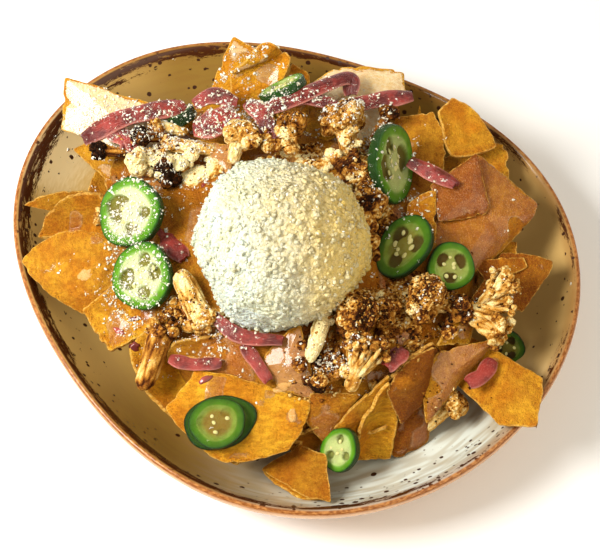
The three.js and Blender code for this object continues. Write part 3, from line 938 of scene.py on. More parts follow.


# The tone column mixes toast with painted shade: chips that lie in shade have darker tones.
CHIPS: dict[str, ChipRow] = {
    "back_left": ChipRow(
        [(-118, 96, 56), (-50, 73, 52), (-73, 51, 46), (-120, 73, 42)], 2, 0.25, 0.86, 0.95),
    "left_back": ChipRow([(-113, 60, 42), (-74, 81, 46), (-71, 15, 44)], 1, 0.4, 0.3, 0.6),
    "left_sliver": ChipRow([(-135, 26, 43), (-82, 28, 40), (-92, 21, 34)], 0, 0.6, 0.1, bows=[7]),
    "left_scoop": ChipRow([(-127, 11, 36), (-95, 25, 56), (-73, 3, 46)], -5, 0.4, 0.08, bows=[8]),
    "left_wide": ChipRow(
        [(-133, -7, 43), (-83, -3, 52), (-69, -9, 46), (-76, -33, 36), (-101, -33, 37)],
        5, 0.4, 0.12, bows=[11, 0, 0, 0, 3]),
    "left_front": ChipRow(
        [(-101, -32, 40), (-82, -13, 52), (-58, -40, 46), (-79, -50, 37), (-87, -52, 34)],
        -3, 0.15, 0.24, bows=[-3, 0, 0, 0, 1]),
    "front_sunlit": ChipRow(
        [(-68, -49, 52), (-77, -58, 46), (-66, -78, 38), (-25, -110, 34), (-14, -81, 42)],
        -9, 0.0, 0.1, bows=[1, 1, 1]),
    "front_large": ChipRow(
        [(-58, -85, 42), (-45, -69, 49), (8, -84, 46), (-2, -105, 41), (-30, -110, 36)],
        3, 0.1, 0.3, bows=[-1, 2, 2, 1, 3]),
    "front_shade": ChipRow(
        [(-27, -103, 18), (3, -94, 20), (3, -77, 34), (-25, -82, 34)], 1, 0.7, 0.2),
    "front_dark": ChipRow(
        [(5, -90, 42), (8, -80, 48), (31, -80, 46), (26, -86, 42), (15, -99, 32)],
        2, 0.7, 0.55, 0.15),
    "front_under": ChipRow(
        [(-4, -97, 26), (3, -85, 34), (22, -95, 28), (15, -105, 17)], 1, 0.5, 0.3, 0.2),
    "front_slant": ChipRow(
        [(16, -95, 36), (44, -74, 54), (37, -86, 32), (24, -100, 22)], 1, 0.35, 0.2, bows=[1]),
    "front_blade": ChipRow(
        [(44, -77, 54), (29, -99, 26), (29, -100, 16), (46, -99, 16), (49, -86, 32)],
        -4, 0.12, 0.1, bows=[3.5]),
    "taco_left": ChipRow([(43, -76, 50), (65, -59, 58), (49, -77, 32)], 0, 1, 0, 0, bows=[4]),
    "taco_right": ChipRow(
        [(43, -79, 49), (65, -61, 58), (62, -78, 36), (50, -88, 32)], 2, 1, 0.3, 0, bows=[4]),
    "front_low": ChipRow(
        [(39, -91, 20), (60, -77, 33), (64, -89, 15), (48, -98, 15)], 2, 1, 0.4, 0, bows=[0, 2, 2]),
    "front_fold_top": ChipRow(
        [(-14, -107, 21), (3, -98, 30), (15, -105, 34), (17, -128, 34), (5, -123, 30)],
        2, 0.6, 0.05, 0.4),
    "front_fold_under": ChipRow(
        [(-14, -107, 18), (3, -97, 26), (14, -109, 25), (16, -126, 32), (5, -124, 27)],
        -1, 0.3, 0, bows=[0, 0, 0, 0, 1.5]),
    "right_sauced": ChipRow(
        [(62, -88, 31), (59, -69, 48), (68, -60, 51), (96, -51, 46), (83, -65, 41)],
        2, 0.5, 0.8, 0.35),
    "right_nib": ChipRow([(67, -56, 48), (72, -49, 52), (89, -30, 46), (83, -53, 44)], 1, 0.4, 0.5),
    "right_overhang": ChipRow(
        [(78, -41, 36), (115, -71, 45), (115, -79, 45), (112, -95, 43), (95, -94, 41), (74, -65, 32)],
        2, 0.3, 0.1, bows=[1, 0, 0, 0, -1]),
    "right_tip": ChipRow(
        [(101, -4, 46), (126, -9, 47), (126, -13, 46), (109, -35, 41), (85, -30, 46)],
        1, 1, 0.0, bows=[1]),
    "right_small": ChipRow(
        [(85, -11, 50), (112, -8, 48), (113, -13, 47), (95, -23, 47)], 0, 0.9, 0.15),
    "right_stub": ChipRow([(90, 6, 42), (110, 4, 42), (109, -3, 42), (85, -3, 36)], 0, 0.3, 0.1),
    "right_wide": ChipRow(
        [(91, 43, 62), (121, 21, 51), (119, 16, 50), (103, -2, 46), (72, -27, 50), (67, 7, 54)],
        4, 0.6, 0.8, 0.2, bows=[0, 0, 0, 1]),
    "right_top": ChipRow(
        [(90, 40, 67), (94, 19, 61), (95, 14, 59), (93, 10, 58), (70, 6, 58), (67, 24, 63)],
        2, 0.9, 0.85, 0.1),
    "right_spot": ChipRow(
        [(69, 20, 64), (69, 1, 55), (68, -8, 50), (54, 2, 53), (56, 15, 58)],
        1, 0.35, 0.6, 0.5, bows=[0, 0, 0, 0, 2]),
    "back_right_near": ChipRow(
        [(52, 71, 55), (71, 71, 60), (76, 59, 57), (77, 45, 50), (66, 27, 46), (46, 44, 48)],
        1, 0.7, 0.15),
    "back_right_far": ChipRow(
        [(73, 70, 61), (80, 77, 64), (92, 70, 60), (103, 55, 52), (80, 47, 54), (75, 60, 58)],
        -2, 0.45, 0.2, 0.5, bows=[0, 1, 1, 2, 1]),
    "back_right_low": ChipRow(
        [(96, 65, 44), (107, 60, 46), (109, 41, 43), (74, 30, 36), (68, 53, 36)],
        0, 0.3, 0.1, bows=[0, 1]),
    "back_tip": ChipRow([(65, 82, 52), (70, 48, 32), (55, 48, 32)], 0, 0.2, 0.1),
    "back_sauced": ChipRow(
        [(10, 92, 56), (17, 97, 58), (29, 100, 59), (56, 98, 57), (58, 87, 53), (30, 48, 46)],
        4, 0.05, 1, 1, bows=[0, 1, 1]),
    "back_peak": ChipRow([(-1, 105, 56), (9, 101, 53), (8, 76, 38), (-8, 76, 38)], 0, 0.35, 0.2),
    "back_corner": ChipRow(
        [(-31, 113, 68), (-19, 107, 66), (-13, 72, 38), (-49, 79, 38)],
        1, 0.2, 0.3, 0.7, bows=[0, 0, 0, 1]),
    "back_curled": ChipRow(
        [(-32, 96, 60), (-4, 104, 67), (-1, 101, 66), (-14, 71, 40), (-31, 71, 40)],
        -2, 0, 0.4, 0.5, bows=[0, 0, 0, 0, 1]),
    "back_flap": ChipRow(
        [(-32, 95, 60), (-24, 98, 68), (-16, 105, 73), (-9, 103, 73), (-6, 104, 67), (-22, 99, 62)],
        2, 0.25, 0.35, 0.6, bows=[0, 1, 1, 0, 0, -1]),
    "middle_left": ChipRow(
        [(-49, 52, 54), (-41, 34, 48), (-46, 25, 46), (-66, 22, 44), (-70, 47, 48)],
        2, 0.5, 0.85, 0.45),
    "middle_edge": ChipRow(
        [(-58, 61, 55), (-54, 68, 59), (-50, 71, 60), (-47, 61, 50)],
        0, 0.2, 0.4, 0.6, bows=[1, 1]),
    "middle_back": ChipRow([(-48, 55, 58), (-27, 47, 62), (-34, 27, 54)], 1, 0.45, 0.85, 0.45),
    "middle_front": ChipRow(
        [(-58, -64, 48), (-54, -57, 54), (-25, -50, 54), (-21, -65, 50), (-41, -68, 46)],
        -3, 0.55, 0.4, 0.25, bows=[2, 0, 0, 0, 1]),
    "middle_cheese": ChipRow(
        [(4, -52, 62), (11, -83, 46), (-4, -79, 46), (-15, -68, 50), (-6, -55, 58)],
        2, 0.5, 0.85, 0.45),
}

JALAPENOS: dict[str, SliceRow] = {
    "left_upper": SliceRow(
        (-78, 9, 62), (-138, 57), 17.0, 5, 1.0, 0, 0.0,
        Pith(((290, 1.5), (130, 0.6), (50, 0.7)), 0.75, 0.0, 0.9, 5)),
    "left_lower": SliceRow(
        (-71, -23, 56), (-133, 57), 15.6, 5, 1.04, -142, 0.0,
        Pith(((285, 0.9), (100, 1.2), (350, 0.7), (190, 0.7)), 0.7, 0.0, 0.8, 6)),
    "right_upper": SliceRow(
        (48, 35, 66), (-21, 32), 16.5, 5.5, 1.2, 126, 0.15,
        Pith(((110, 1.2), (290, 1.2), (30, 0.7)), 0.8, 0.1, 0.35, 9)),
    "right_middle": SliceRow(
        (53, -10, 62), (-171, 60), 13.5, 3.5, 1.25, -139, 0.45,
        Pith(((60, 1.0), (180, 1.0), (300, 1.0)), 0.8, 0.5, 0.0, 8)),
    "right_lower": SliceRow(
        (75, -18, 57), (-71, 59), 11.6, 4, 1.0, 0, 0.35,
        Pith(((100, 1.1), (220, 1.0), (340, 1.0)), 0.9, 0.2, 0.1, 6)),
    "front_upper": SliceRow(
        (-34, -96, 50), (-90, 72), 11.6, 3.2, 1.12, 102, 0.55,
        Pith(((40, 0.6), (160, 0.6), (280, 0.6)), 0.15, 1.0, 0.0, 4)),
    "front_under": SliceRow(
        (-33, -94, 46), (-90, 72), 12.2, 3.2, 1.38, 104, 0.8,
        Pith(((80, 0.8), (200, 0.8), (320, 0.8)), 0.3, 0.5, 0.0, 3)),
    "front_small": SliceRow(
        (22, -102, 33), (-139, 58), 9.0, 6, 1.15, -154, 0.1,
        Pith(((10, 0.6), (130, 0.6), (250, 0.6)), 0.5, 0.0, 0.4, 4)),
    "rim_right": SliceRow(
        (105, -42, 19), (-113, 58), 8.6, 4, 1.0, 0, 0.8,
        Pith(((50, 0.9), (170, 0.9), (290, 0.9)), 0.9, 0.6, 0.0, 4)),
    "back_edge": SliceRow(
        (-5, 81, 66), (126, 44), 12.5, 5, 1.0, 0, 0.0,
        Pith(((0, 0.9), (120, 0.9), (240, 0.9)), 0.8, 0.0, 0.3, 6)),
    "back_left": SliceRow(
        (-57, 69, 58), (131, 44), 8.5, 6, 1.0, 0, 0.7,
        Pith(((70, 0.9), (190, 0.9), (310, 0.9)), 0.8, 0.3, 0.0, 5)),
}

ONIONS: dict[str, StripRow] = {
    "back_left_long": StripRow(
        [(-105, 54, 58), (-88, 63, 62), (-71, 68, 63), (-55, 74, 59)], 11, 3.5),
    "back_left_petal": StripRow([(-92, 58, 60), (-83, 53, 60), (-81, 49, 56)], 10),
    "back_left_drop": StripRow([(-82, 53, 62), (-78, 48, 58)], 7),
    "back_arc": StripRow([(-50, 75, 60), (-40, 78, 63), (-28, 74, 62)], 9),
    "back_petal": StripRow([(-49, 58, 62), (-39, 59, 66), (-29, 66, 66)], 15),
    "back_down": StripRow([(-23, 68, 70), (-15, 60, 70), (-10, 43, 64)], 9),
    "back_bridge": StripRow([(-18, 62, 69), (3, 71, 71), (27, 85, 68), (29, 78, 64)], 8, 3.5),
    "back_twist": StripRow([(-4, 70, 68), (8, 71, 69), (22, 70, 66)], 7),
    "back_right_bar": StripRow([(27, 70, 64), (43, 74, 64), (60, 78, 62)], 9, 4),
    "right_bar": StripRow([(57, 38, 62), (67, 31, 63), (79, 21, 66)], 8, 3.5),
    "front_ring": StripRow([(-37, -45, 56), (-24, -56, 57), (-4, -60, 60)], 7),
    "front_strand": StripRow([(-23, -60, 56), (-18, -66, 54), (-11, -76, 51)], 6),
    "front_sauced": StripRow([(-57, -64, 50), (-47, -67, 50), (-33, -67, 51)], 6),
    "right_knob": StripRow([(81, -74, 44), (88, -70, 44), (93, -62, 43)], 7, 4),
    "taco_knob": StripRow([(43, -72, 57), (47, -68, 58), (51, -64, 58)], 7, 4),
    "left_pocket": StripRow([(-65, 6, 50), (-58, -4, 52), (-52, -13, 54)], 10),
    "left_thread": StripRow([(-44, 30, 54), (-47, 21, 53), (-51, 13, 50)], 3.5, 2),
}

FLORETS: dict[str, FloretRow] = {
    "back_left_tip": FloretRow((-74, 48, 56), (-96, 48, 58), 6.5, 1.1),
    "back_left_dark": FloretRow((-64, 56, 58), (-75, 53, 64), 6.5, 1.15),
    "back_left_gold": FloretRow((-54, 60, 58), (-68, 61, 61), 7.5, 0.4),
    "back_left_arm": FloretRow((-39, 48, 59), (-62, 50, 61), 6, 0.3, Cut.STALK),
    "back_left_low": FloretRow((-60, 46, 56), (-76, 42, 57), 8.5, 0.12),
    "back_left_burnt": FloretRow((-48, 44, 59), (-61, 36, 57), 8.5, 1.0),
    "back_middle": FloretRow((-30, 39, 62), (-26, 51, 67), 9.5, 0.34),
    "back_high": FloretRow((-2, 42, 66), (-2, 56, 68), 9, 0.68),
    "back_right": FloretRow((28, 45, 62), (25, 61, 66), 13, 0.48),
    "back_right_tip": FloretRow((39, 53, 60), (48, 67, 64), 6, 0.92),
    "right_high": FloretRow((19, 24, 62), (29, 31, 64), 12, 0.62),
    "right_dark": FloretRow((23, 14, 60), (34, 9, 62), 12, 0.85),
    "right_low": FloretRow((72, -38, 54), (62, -37, 58), 11.5, 0.55),
    "right_clump": FloretRow((72, -46, 52), (80, -43, 56), 6, 0.8),
    "right_outer": FloretRow((75, -38, 54), (94, -44, 53), 12, 0.4, Cut.FAN),
    "right_edge": FloretRow((88, -37, 52), (99, -26, 56), 7.5, 0.4, Cut.FAN),
    "front_dark": FloretRow((46, -43, 58), (30, -50, 62), 13, 0.75),
    "front_stem": FloretRow((8, -67, 56), (14, -50, 64), 6.5, -0.1, Cut.STALK),
    "front_wide": FloretRow((26, -80, 52), (34, -65, 60), 10, 0.48, Cut.FAN),
    "front_burnt": FloretRow((24, -72, 54), (12, -76, 52), 6.5, 0.9),
    "front_char": FloretRow((20, -66, 52), (28, -74, 54), 5.5, 0.95),
    "left_stem": FloretRow((-53, -24, 60), (-42, -46, 54), 10, 0.28, Cut.STALK),
    "left_low": FloretRow((-69, -76, 46), (-61, -52, 54), 9.5, 0.55, Cut.STALK),
    "front_rim": FloretRow((62, -85, 17), (75, -77, 29), 8.5, 0.45),
    "left_crumb": FloretRow((-85, 16, 52), (-94, 12, 52), 5, 0.4),
}


# ---- Plate ----


def turned(name: str, profile: Array, steps: int) -> Piece:
    """Turns a profile about the Z axis.

    Args:
        name: name of the piece.
        profile: radius and height of each point, in millimetres.
        steps: how many facets there are round the axis.

    Returns:
        A closed piece with its normals outwards.
    """
    points = np.column_stack([profile[:, 0], np.zeros(len(profile)), profile[:, 1]])
    piece = mesh_from(name, points, edges=[(i, i + 1) for i in range(len(points) - 1)])
    edit(piece, "spin", steps=steps, angle=math.tau, center=(0, 0, 0), axis=(0, 0, 1))
    edit(piece, "remove_doubles", threshold=1e-6)
    edit(piece, "normals_make_consistent", inside=False)
    return piece


@dataclass
class Plate:
    """The pebble-shaped stoneware plate."""

    FACETS = 144

    finish: Material

    @staticmethod
    def outer_height(share: Array) -> Array:
        """Height of the outer wall at a share of the rim."""
        return 2.5 + 26.5 * np.clip((share - 0.6) / 0.385, 0, 1) ** 2.5

    @staticmethod
    def inner_height(share: Array) -> Array:
        """Height of the inner wall at a share of the rim."""
        return 7 + 28.5 * np.clip((share - 0.58) / 0.382, 0, 1) ** 2.6

    def profile(self) -> Array:
        """Profile from the middle of the underside, round the lip, to the middle on top."""
        outer = np.linspace(0.6, 0.985, 16)
        inner = np.linspace(0.962, 0.58, 20)
        under = [(0, 2.2), (0.25, 2.2), (0.49, 2.2), (0.505, 1.9), (0.512, 0.4), (0.518, 0.05)]
        foot = [(0.53, 0), (0.555, 0.05), (0.568, 0.6), (0.58, 1.7)]
        lip = [
            (0.992, 31), (0.9975, 33), (1.0, 34.6), (0.9995, 36.2), (0.9965, 37.4),
            (0.991, 38.0), (0.984, 38.1), (0.977, 37.7), (0.97, 36.9)]
        middle = [(0.4, 7), (0.2, 7), (0, 7)]
        points = under + foot + list(zip(outer, self.outer_height(outer))) + lip
        points += list(zip(inner, self.inner_height(inner))) + middle
        return np.array(points) * (PLATE_RADIUS, 1.0)

    def build(self) -> Piece:
        """Turns the profile, widens it and gives it a hand-made unevenness."""
        piece = turned("pebble_plate", self.profile(), self.FACETS)
        points = points_of(piece)
        share = np.hypot(points[:, 0], points[:, 1]) / PLATE_RADIUS
        parting = 0.5 * (self.outer_height(share) + self.inner_height(share))
        inside = np.where(share > 0.975, points[:, 2] > 36.3, points[:, 2] > parting)
        spread = pebble(points)
        wander = ease(share, 0.7, 1.0)
        spread[:, 2] += 0.35 * wander * smooth_noise(spread, 60, 3)
        move_points(piece, spread)
        keep(piece, share=share, inside=inside.astype(float))
        apply_modifier(piece, "SUBSURF", levels=1)
        return dress(piece, self.finish, "plate_glaze", ["plate"])


# ---- Tortilla chips ----


@dataclass
class Chip:
    """One tortilla chip: a thin wavy sheet with blisters and a ragged edge."""

    SECTORS = 12

    row: ChipRow
    seed: int
    cuts: int

    def frame_of(self) -> tuple[Array, list[float], Array, Array]:
        """Corners anticlockwise from above, their bows, the middle and the upward normal."""
        corners = np.array(self.row.corners, dtype=float)
        bows = list(self.row.bows) + [0.0] * (len(corners) - len(self.row.bows))
        normal = np.cross(corners, np.roll(corners, -1, axis=0)).sum(axis=0)
        if normal[2] < 0:
            corners, normal = corners[::-1], -normal
            bows = bows[:-1][::-1] + bows[-1:]
        return corners, bows, corners.mean(axis=0), normal / norm(normal)

    def outline(self, count: int) -> tuple[Array, Array, Array]:
        """The ragged outline, with the middle and the normal."""
        corners, bows, middle, normal = self.frame_of()
        ahead = np.roll(corners, -1, axis=0)
        lengths = norm(ahead - corners, axis=1)
        shares = np.maximum(2, np.round(count * lengths / lengths.sum())).astype(int)
        shares[np.argmax(shares)] += count - shares.sum()
        sides = []
        for corner, following, bow, steps in zip(corners, ahead, bows, shares):
            part = (np.arange(steps) / steps)[:, None]
            outward = np.cross(following - corner, normal)
            outward /= norm(outward)
            bowed = outward * bow * 4 * part * (1 - part)
            sides.append(corner + (following - corner) * part + bowed)
        rim = np.concatenate(sides)
        for _ in range(2):
            rim = 0.5 * rim + 0.25 * (np.roll(rim, 1, axis=0) + np.roll(rim, -1, axis=0))
        away = rim - middle
        away -= np.outer(away @ normal, normal)
        away /= norm(away, axis=1)[:, None]
        rough = 0.5 * smooth_noise(rim, 3.0, self.seed)
        rough += 0.7 * smooth_noise(rim, 9.0, self.seed + 1)
        rough -= 1.1 * ease(smooth_noise(rim, 4.5, self.seed + 2), 0.35, 0.75)
        return rim + away * rough[:, None], middle, normal

    def blisters(self, points: Array, reach: float) -> Array:
        """Height of the blisters at every point of the sheet."""
        random = np.random.default_rng(self.seed)
        total = np.zeros(len(points))
        for _ in range(int(reach / 3)):
            middle = points[random.integers(len(points))]
            radius = random.uniform(1.8, 5.5)
            away = norm(points - middle, axis=1) / radius
            height = random.uniform(0.09, 0.22) * radius * random.choice((1, 1, -0.7))
            total += height * np.clip(1 - away**2, 0, 1) ** 2
        return np.clip(total, -0.9, 1.3)

    def build(self) -> Piece:
        """Lays a disc into the outline, waves it and gives it its thickness."""
        sheet = primitive("circle", vertices=self.SECTORS, radius=1.0, fill_type="TRIFAN")
        edit(sheet, "subdivide", number_cuts=self.cuts)
        disc = points_of(sheet) * MM
        step = math.tau / self.SECTORS
        sector = np.floor(np.mod(np.arctan2(disc[:, 1], disc[:, 0]), math.tau) / step + 1e-6)
        first, second = sector * step, (sector + 1) * step
        before = (disc[:, 0] * np.sin(second) - disc[:, 1] * np.cos(second)) / math.sin(step)
        after = (disc[:, 1] * np.cos(first) - disc[:, 0] * np.sin(first)) / math.sin(step)
        ring = before + after
        count = self.SECTORS * (self.cuts + 1)
        place = (sector + after / np.maximum(ring, 1e-9)) / self.SECTORS * count
        rim, middle, normal = self.outline(count)
        low = np.floor(place + 1e-6).astype(int)
        part = (place - low)[:, None]
        edge = rim[low % count] * (1 - part) + rim[(low + 1) % count] * part
        span = norm(edge - middle, axis=1)
        points = middle + (edge - middle) * ring[:, None]
        flat = points.copy()
        lift = self.row.crown * (1 - ring**2)
        lift += 0.75 * smooth_noise(flat, 23, self.seed + 3)
        lift += 0.3 * smooth_noise(flat, 8, self.seed + 4)
        blister = self.blisters(flat, float(span.mean()))
        points += np.outer(lift + blister, normal)
        move_points(sheet, points)
        tone = self.row.tone + 0.2 * smooth_noise(flat, 15, self.seed + 5)
        sauce = self.row.sauce - 0.5 + 0.5 * smooth_noise(flat, 12, self.seed + 6)
        sauce += 0.2 * smooth_noise(flat, 5, self.seed + 7)
        keep(sheet, inset=(1 - ring) * span, blister=blister, tone=np.clip(tone, 0, 1),
             sauce=sauce, milk=self.row.milk)
        thicken(sheet, CHIP_THICK, 0.4)
        return sheet


@dataclass
class TortillaHeap:
    """The bare heap and all chips that lie and lean on it.

    PROFILE has the heap's side, each point as a share of the plate's radius and a height.
    LEANING has the directions of the chips near the plate's far wall, in degrees. TURN_STEP
    and RISE_STEP are how much of a turn and of the height lies between two filling chips.
    THREE_WAYS has the directions of a chip's corners, in radians, and BOWS its bent sides.
    """

    PROFILE = (
        (0, 7.5), (0.5, 7.5), (0.6, 10.5), (0.66, 19), (0.67, 30), (0.63, 42), (0.52, 51),
        (0.3, 56), (0, 57))
    PROFILE_POINTS = 49
    FACETS = 96
    LEANING = (4, 28, 50, 72, 93, 114, 136, 158)
    FILLING_CHIPS = 110
    TURN_STEP = 0.7549
    RISE_STEP = 0.5698
    LYING_CHIPS = 9
    THREE_WAYS = (0, 1.9, 4.1)
    BOWS = (1, 2, 1)

    finish: Material

    @classmethod
    def mound(cls, points: Array) -> Array:
        """Widens a turned shape to the outline of the heap."""
        spread = pebble(points) + (*CORE_AT, 0)
        far = spread[:, 1] > 0
        spread[far, 1] *= 1 + 0.2 * np.maximum(0, 1 - spread[far, 2] / 45)
        return spread

    @classmethod
    def side(cls, angle: float, height: float) -> Array:
        """The place on the heap's side in a direction, at a height."""
        shares, heights = zip(*cls.PROFILE[2:])
        share = float(np.interp(height, heights, shares))
        turn = np.array([[math.cos(angle), math.sin(angle)]]) * share * PLATE_RADIUS
        return cls.mound(np.column_stack([turn, [[height]]]))[0]

    def core(self) -> Piece:
        """The heap under the chips, with a broken, toasted relief."""
        rows = np.array(self.PROFILE, dtype=float)
        walk = np.linspace(0, len(rows) - 1, self.PROFILE_POINTS)
        profile = np.column_stack([
            np.interp(walk, np.arange(len(rows)), rows[:, k]) for k in range(2)])
        piece = turned("tortilla_heap_core", profile * (PLATE_RADIUS, 1.0), self.FACETS)
        points = self.mound(points_of(piece))
        inward = ease(points[:, 2], 8, 14)
        relief = 1.6 * grain_noise(points, 13, 61) + 0.7 * grain_noise(points, 5, 64) - 1.6
        moved = points + normals_of(piece) * (relief * inward)[:, None]
        move_points(piece, moved)
        keep(piece, inset=20.0, blister=relief, tone=0.7,
             sauce=0.5 * smooth_noise(points, 12, 66), milk=0.2)
        return dress(piece, self.finish, "tortilla_chip", ["tortilla_chips"])

    def leaning(self) -> list[ChipRow]:
        """The chips low on the far side, one corner in the heap and two near the wall."""
        rows = []
        for number, direction in enumerate(self.LEANING):
            tall = number % 2 == 0
            corners = []
            for turn, share, height in (
                (0, 0.6, 14), (-13, 0.8, 26 if tall else 21), (14, 0.78, 22 if tall else 27)
            ):
                angle = math.radians(direction + turn)
                radius = share * float(rim_radius(np.array(angle)))
                corners.append((
                    PLATE_AT[0] + radius * math.cos(angle),
                    PLATE_AT[1] + radius * math.sin(angle), height))
            rows.append(ChipRow(corners, 1, 0.4, 0.25, bows=self.BOWS))
        return rows

    def corners(
        self, random: np.random.Generator, low: float, high: float
    ) -> Iterator[tuple[float, float]]:
        """Draws the direction and the reach of three corners, each when it is asked for."""
        start = random.uniform(0, math.tau)
        for turn in self.THREE_WAYS:
            yield start + turn + random.uniform(-0.3, 0.3), random.uniform(low, high)

    def filling(self) -> list[ChipRow]:
        """Chips that lie flat against the heap and fill the gaps between the others."""
        random = np.random.default_rng(Seed.FILLING)
        rows = []
        for number in range(self.FILLING_CHIPS):
            angle = math.tau * (number * self.TURN_STEP % 1.0)
            hidden = math.sin(angle) < 0.15
            height = 12 + (16 if hidden else 34) * (number * self.RISE_STEP % 1.0)
            middle = self.side(angle, height)
            along = self.side(angle + 0.05, height) - self.side(angle - 0.05, height)
            up = self.side(angle, height + 3) - self.side(angle, height - 3)
            along /= norm(along)
            up -= along * (up @ along)
            up /= norm(up)
            out = np.cross(along, up)
            lean, roll = random.uniform(0.15, 0.75), random.uniform(-0.35, 0.35)
            if hidden:
                lean, roll = 0.2 * lean, 0.3 * roll
            up = up * math.cos(lean) - out * math.sin(lean)
            along = along * math.cos(roll) + out * math.sin(roll)
            middle = middle + out * (random.uniform(-2.5, 0.0) if hidden else random.uniform(1, 4))
            corners = []
            for way, size in self.corners(random, 13, 21):
                corner = middle + size * (math.cos(way) * along + 0.8 * math.sin(way) * up)
                corner[2] = max(corner[2], 9.5)
                corners.append(tuple(corner))
            rows.append(ChipRow(corners, random.uniform(-2.5, 2.5), random.uniform(0.1, 0.85),
                                random.uniform(0.0, 0.5), bows=self.BOWS))
        return rows

    def lying(self) -> list[ChipRow]:
        """Chips that lie on top of the heap behind the scoop."""
        random = np.random.default_rng(Seed.LYING)
        rows = []
        for number in range(self.LYING_CHIPS):
            x, y = -19 + 6.5 * number, 29 + 5 * (-1) ** number
            corners = []
            for way, size in self.corners(random, 12, 17):
                corners.append((x + size * math.cos(way), y + 0.7 * size * math.sin(way),
                                random.uniform(56, 59.5)))
            rows.append(ChipRow(corners, random.uniform(-2, 2), random.uniform(0.1, 0.7),
                                random.uniform(0.1, 0.6), bows=self.BOWS))
        return rows

    def build(self) -> list[Piece]:
        """Builds the core and the chips, joined side by side into a few pieces."""
        pieces = [self.core()]
        rows = list(CHIPS.values()) + self.leaning() + self.filling() + self.lying()
        sides: dict[str, list[Piece]] = {}
        for number, row in enumerate(rows):
            middle = np.mean(row.corners, axis=0)
            size = max(norm(np.array(c) - middle) for c in row.corners)
            shown = number < len(CHIPS)
            cuts = (15 if size > 34 else 11) if shown else 7
            if abs(middle[0]) > abs(middle[1]):
                side = "right" if middle[0] > 0 else "left"
            else:
                side = "back" if middle[1] > 0 else "front"
            chip = Chip(row, seed=100 * number + 7, cuts=cuts).build()
            sides.setdefault(side, []).append(chip)
        for side, chips in sides.items():
            piece = join(chips, f"tortilla_chips_{side}")
            pieces.append(dress(piece, self.finish, "tortilla_chip", ["tortilla_chips"]))
        return pieces


# ---- Guacamole ----


@dataclass
class GuacamoleScoop:
    """A ball of guacamole from an ice-cream scoop, with a ledge and a grainy face."""

    DIVISIONS = 7
    LOOSE_GRAINS = 4800

    finish: Material

    def build(self) -> Piece:
        """Shapes a ball with dents, lumps and grains."""
        piece = primitive("ico_sphere", subdivisions=self.DIVISIONS, radius=1.0)
        ball = points_of(piece) * MM
        x, y, z = ball.T
        dents = 0.022 * np.sin(5 * x + 1) * np.cos(4 * y) + 0.018 * np.sin(6 * z + 3 * x)
        ledge = 0.05 * np.exp(-8 * ((x - 0.8) ** 2 + (z + 0.2) ** 2))
        flats = sum(
            deep * np.exp(-tight * ((ball - way) ** 2).sum(axis=1))
            for way, deep, tight in SCOOP_FLATS)
        wide = ball * SCOOP_RADIUS
        crease = smooth_noise(wide, 26, 40) + 0.1
        lumps = 1.1 * smooth_noise(wide, 14, 21) + 0.6 * smooth_noise(wide, 5, 22)
        lumps -= 0.5 * np.exp(-((crease / 0.05) ** 2))
        rough = 0.45 + 0.55 * ease(
            smooth_noise(wide, 12, 27) + 0.6 * x + 0.4 * z + 0.5 * np.maximum(y, 0), -0.4, 0.5)
        swirl = wide + 1.4 * smooth_noise(wide, 2.6, 26)[:, None]
        grains = 1.7 * rough * (grain_noise(swirl, 4.3, 25) - 0.5)
        grains += (0.5 + 0.7 * rough) * (grain_noise(swirl, 2.1, 29) - 0.45)
        radius = SCOOP_RADIUS * (1 + dents + ledge - flats) + lumps + grains - 0.8
        shaped = ball * radius[:, None] + SCOOP_AT
        move_points(piece, shaped)
        keep(piece, loose=0.35 * rough * grain_noise(wide, 2.9, 25))
        random = np.random.default_rng(Seed.SCOOP)
        lump = pebble_lump(1)
        loose = Heap()
        upper = np.flatnonzero(ball[:, 2] > -0.8)
        for spot in random.choice(upper, self.LOOSE_GRAINS, replace=False):
            if rough[spot] < random.uniform(0.0, 1.2):
                continue
            size = 0.3 + 1.3 * random.random() ** 2
            grain = lump.points * size * (1 + 0.5 * random.uniform(-1, 1, (len(lump.points), 1)))
            grain = grain @ rotation_to(ball[spot], random.uniform(0, 360)).T
            loose.add(grain + shaped[spot] + ball[spot] * 0.1 * size, lump.faces,
                      loose=random.random())
        piece = join([piece, loose.make("guacamole_grains")], "guacamole_ball")
        return dress(piece, self.finish, "guacamole", ["guacamole_scoop"])


# ---- Jalapeno slices ----


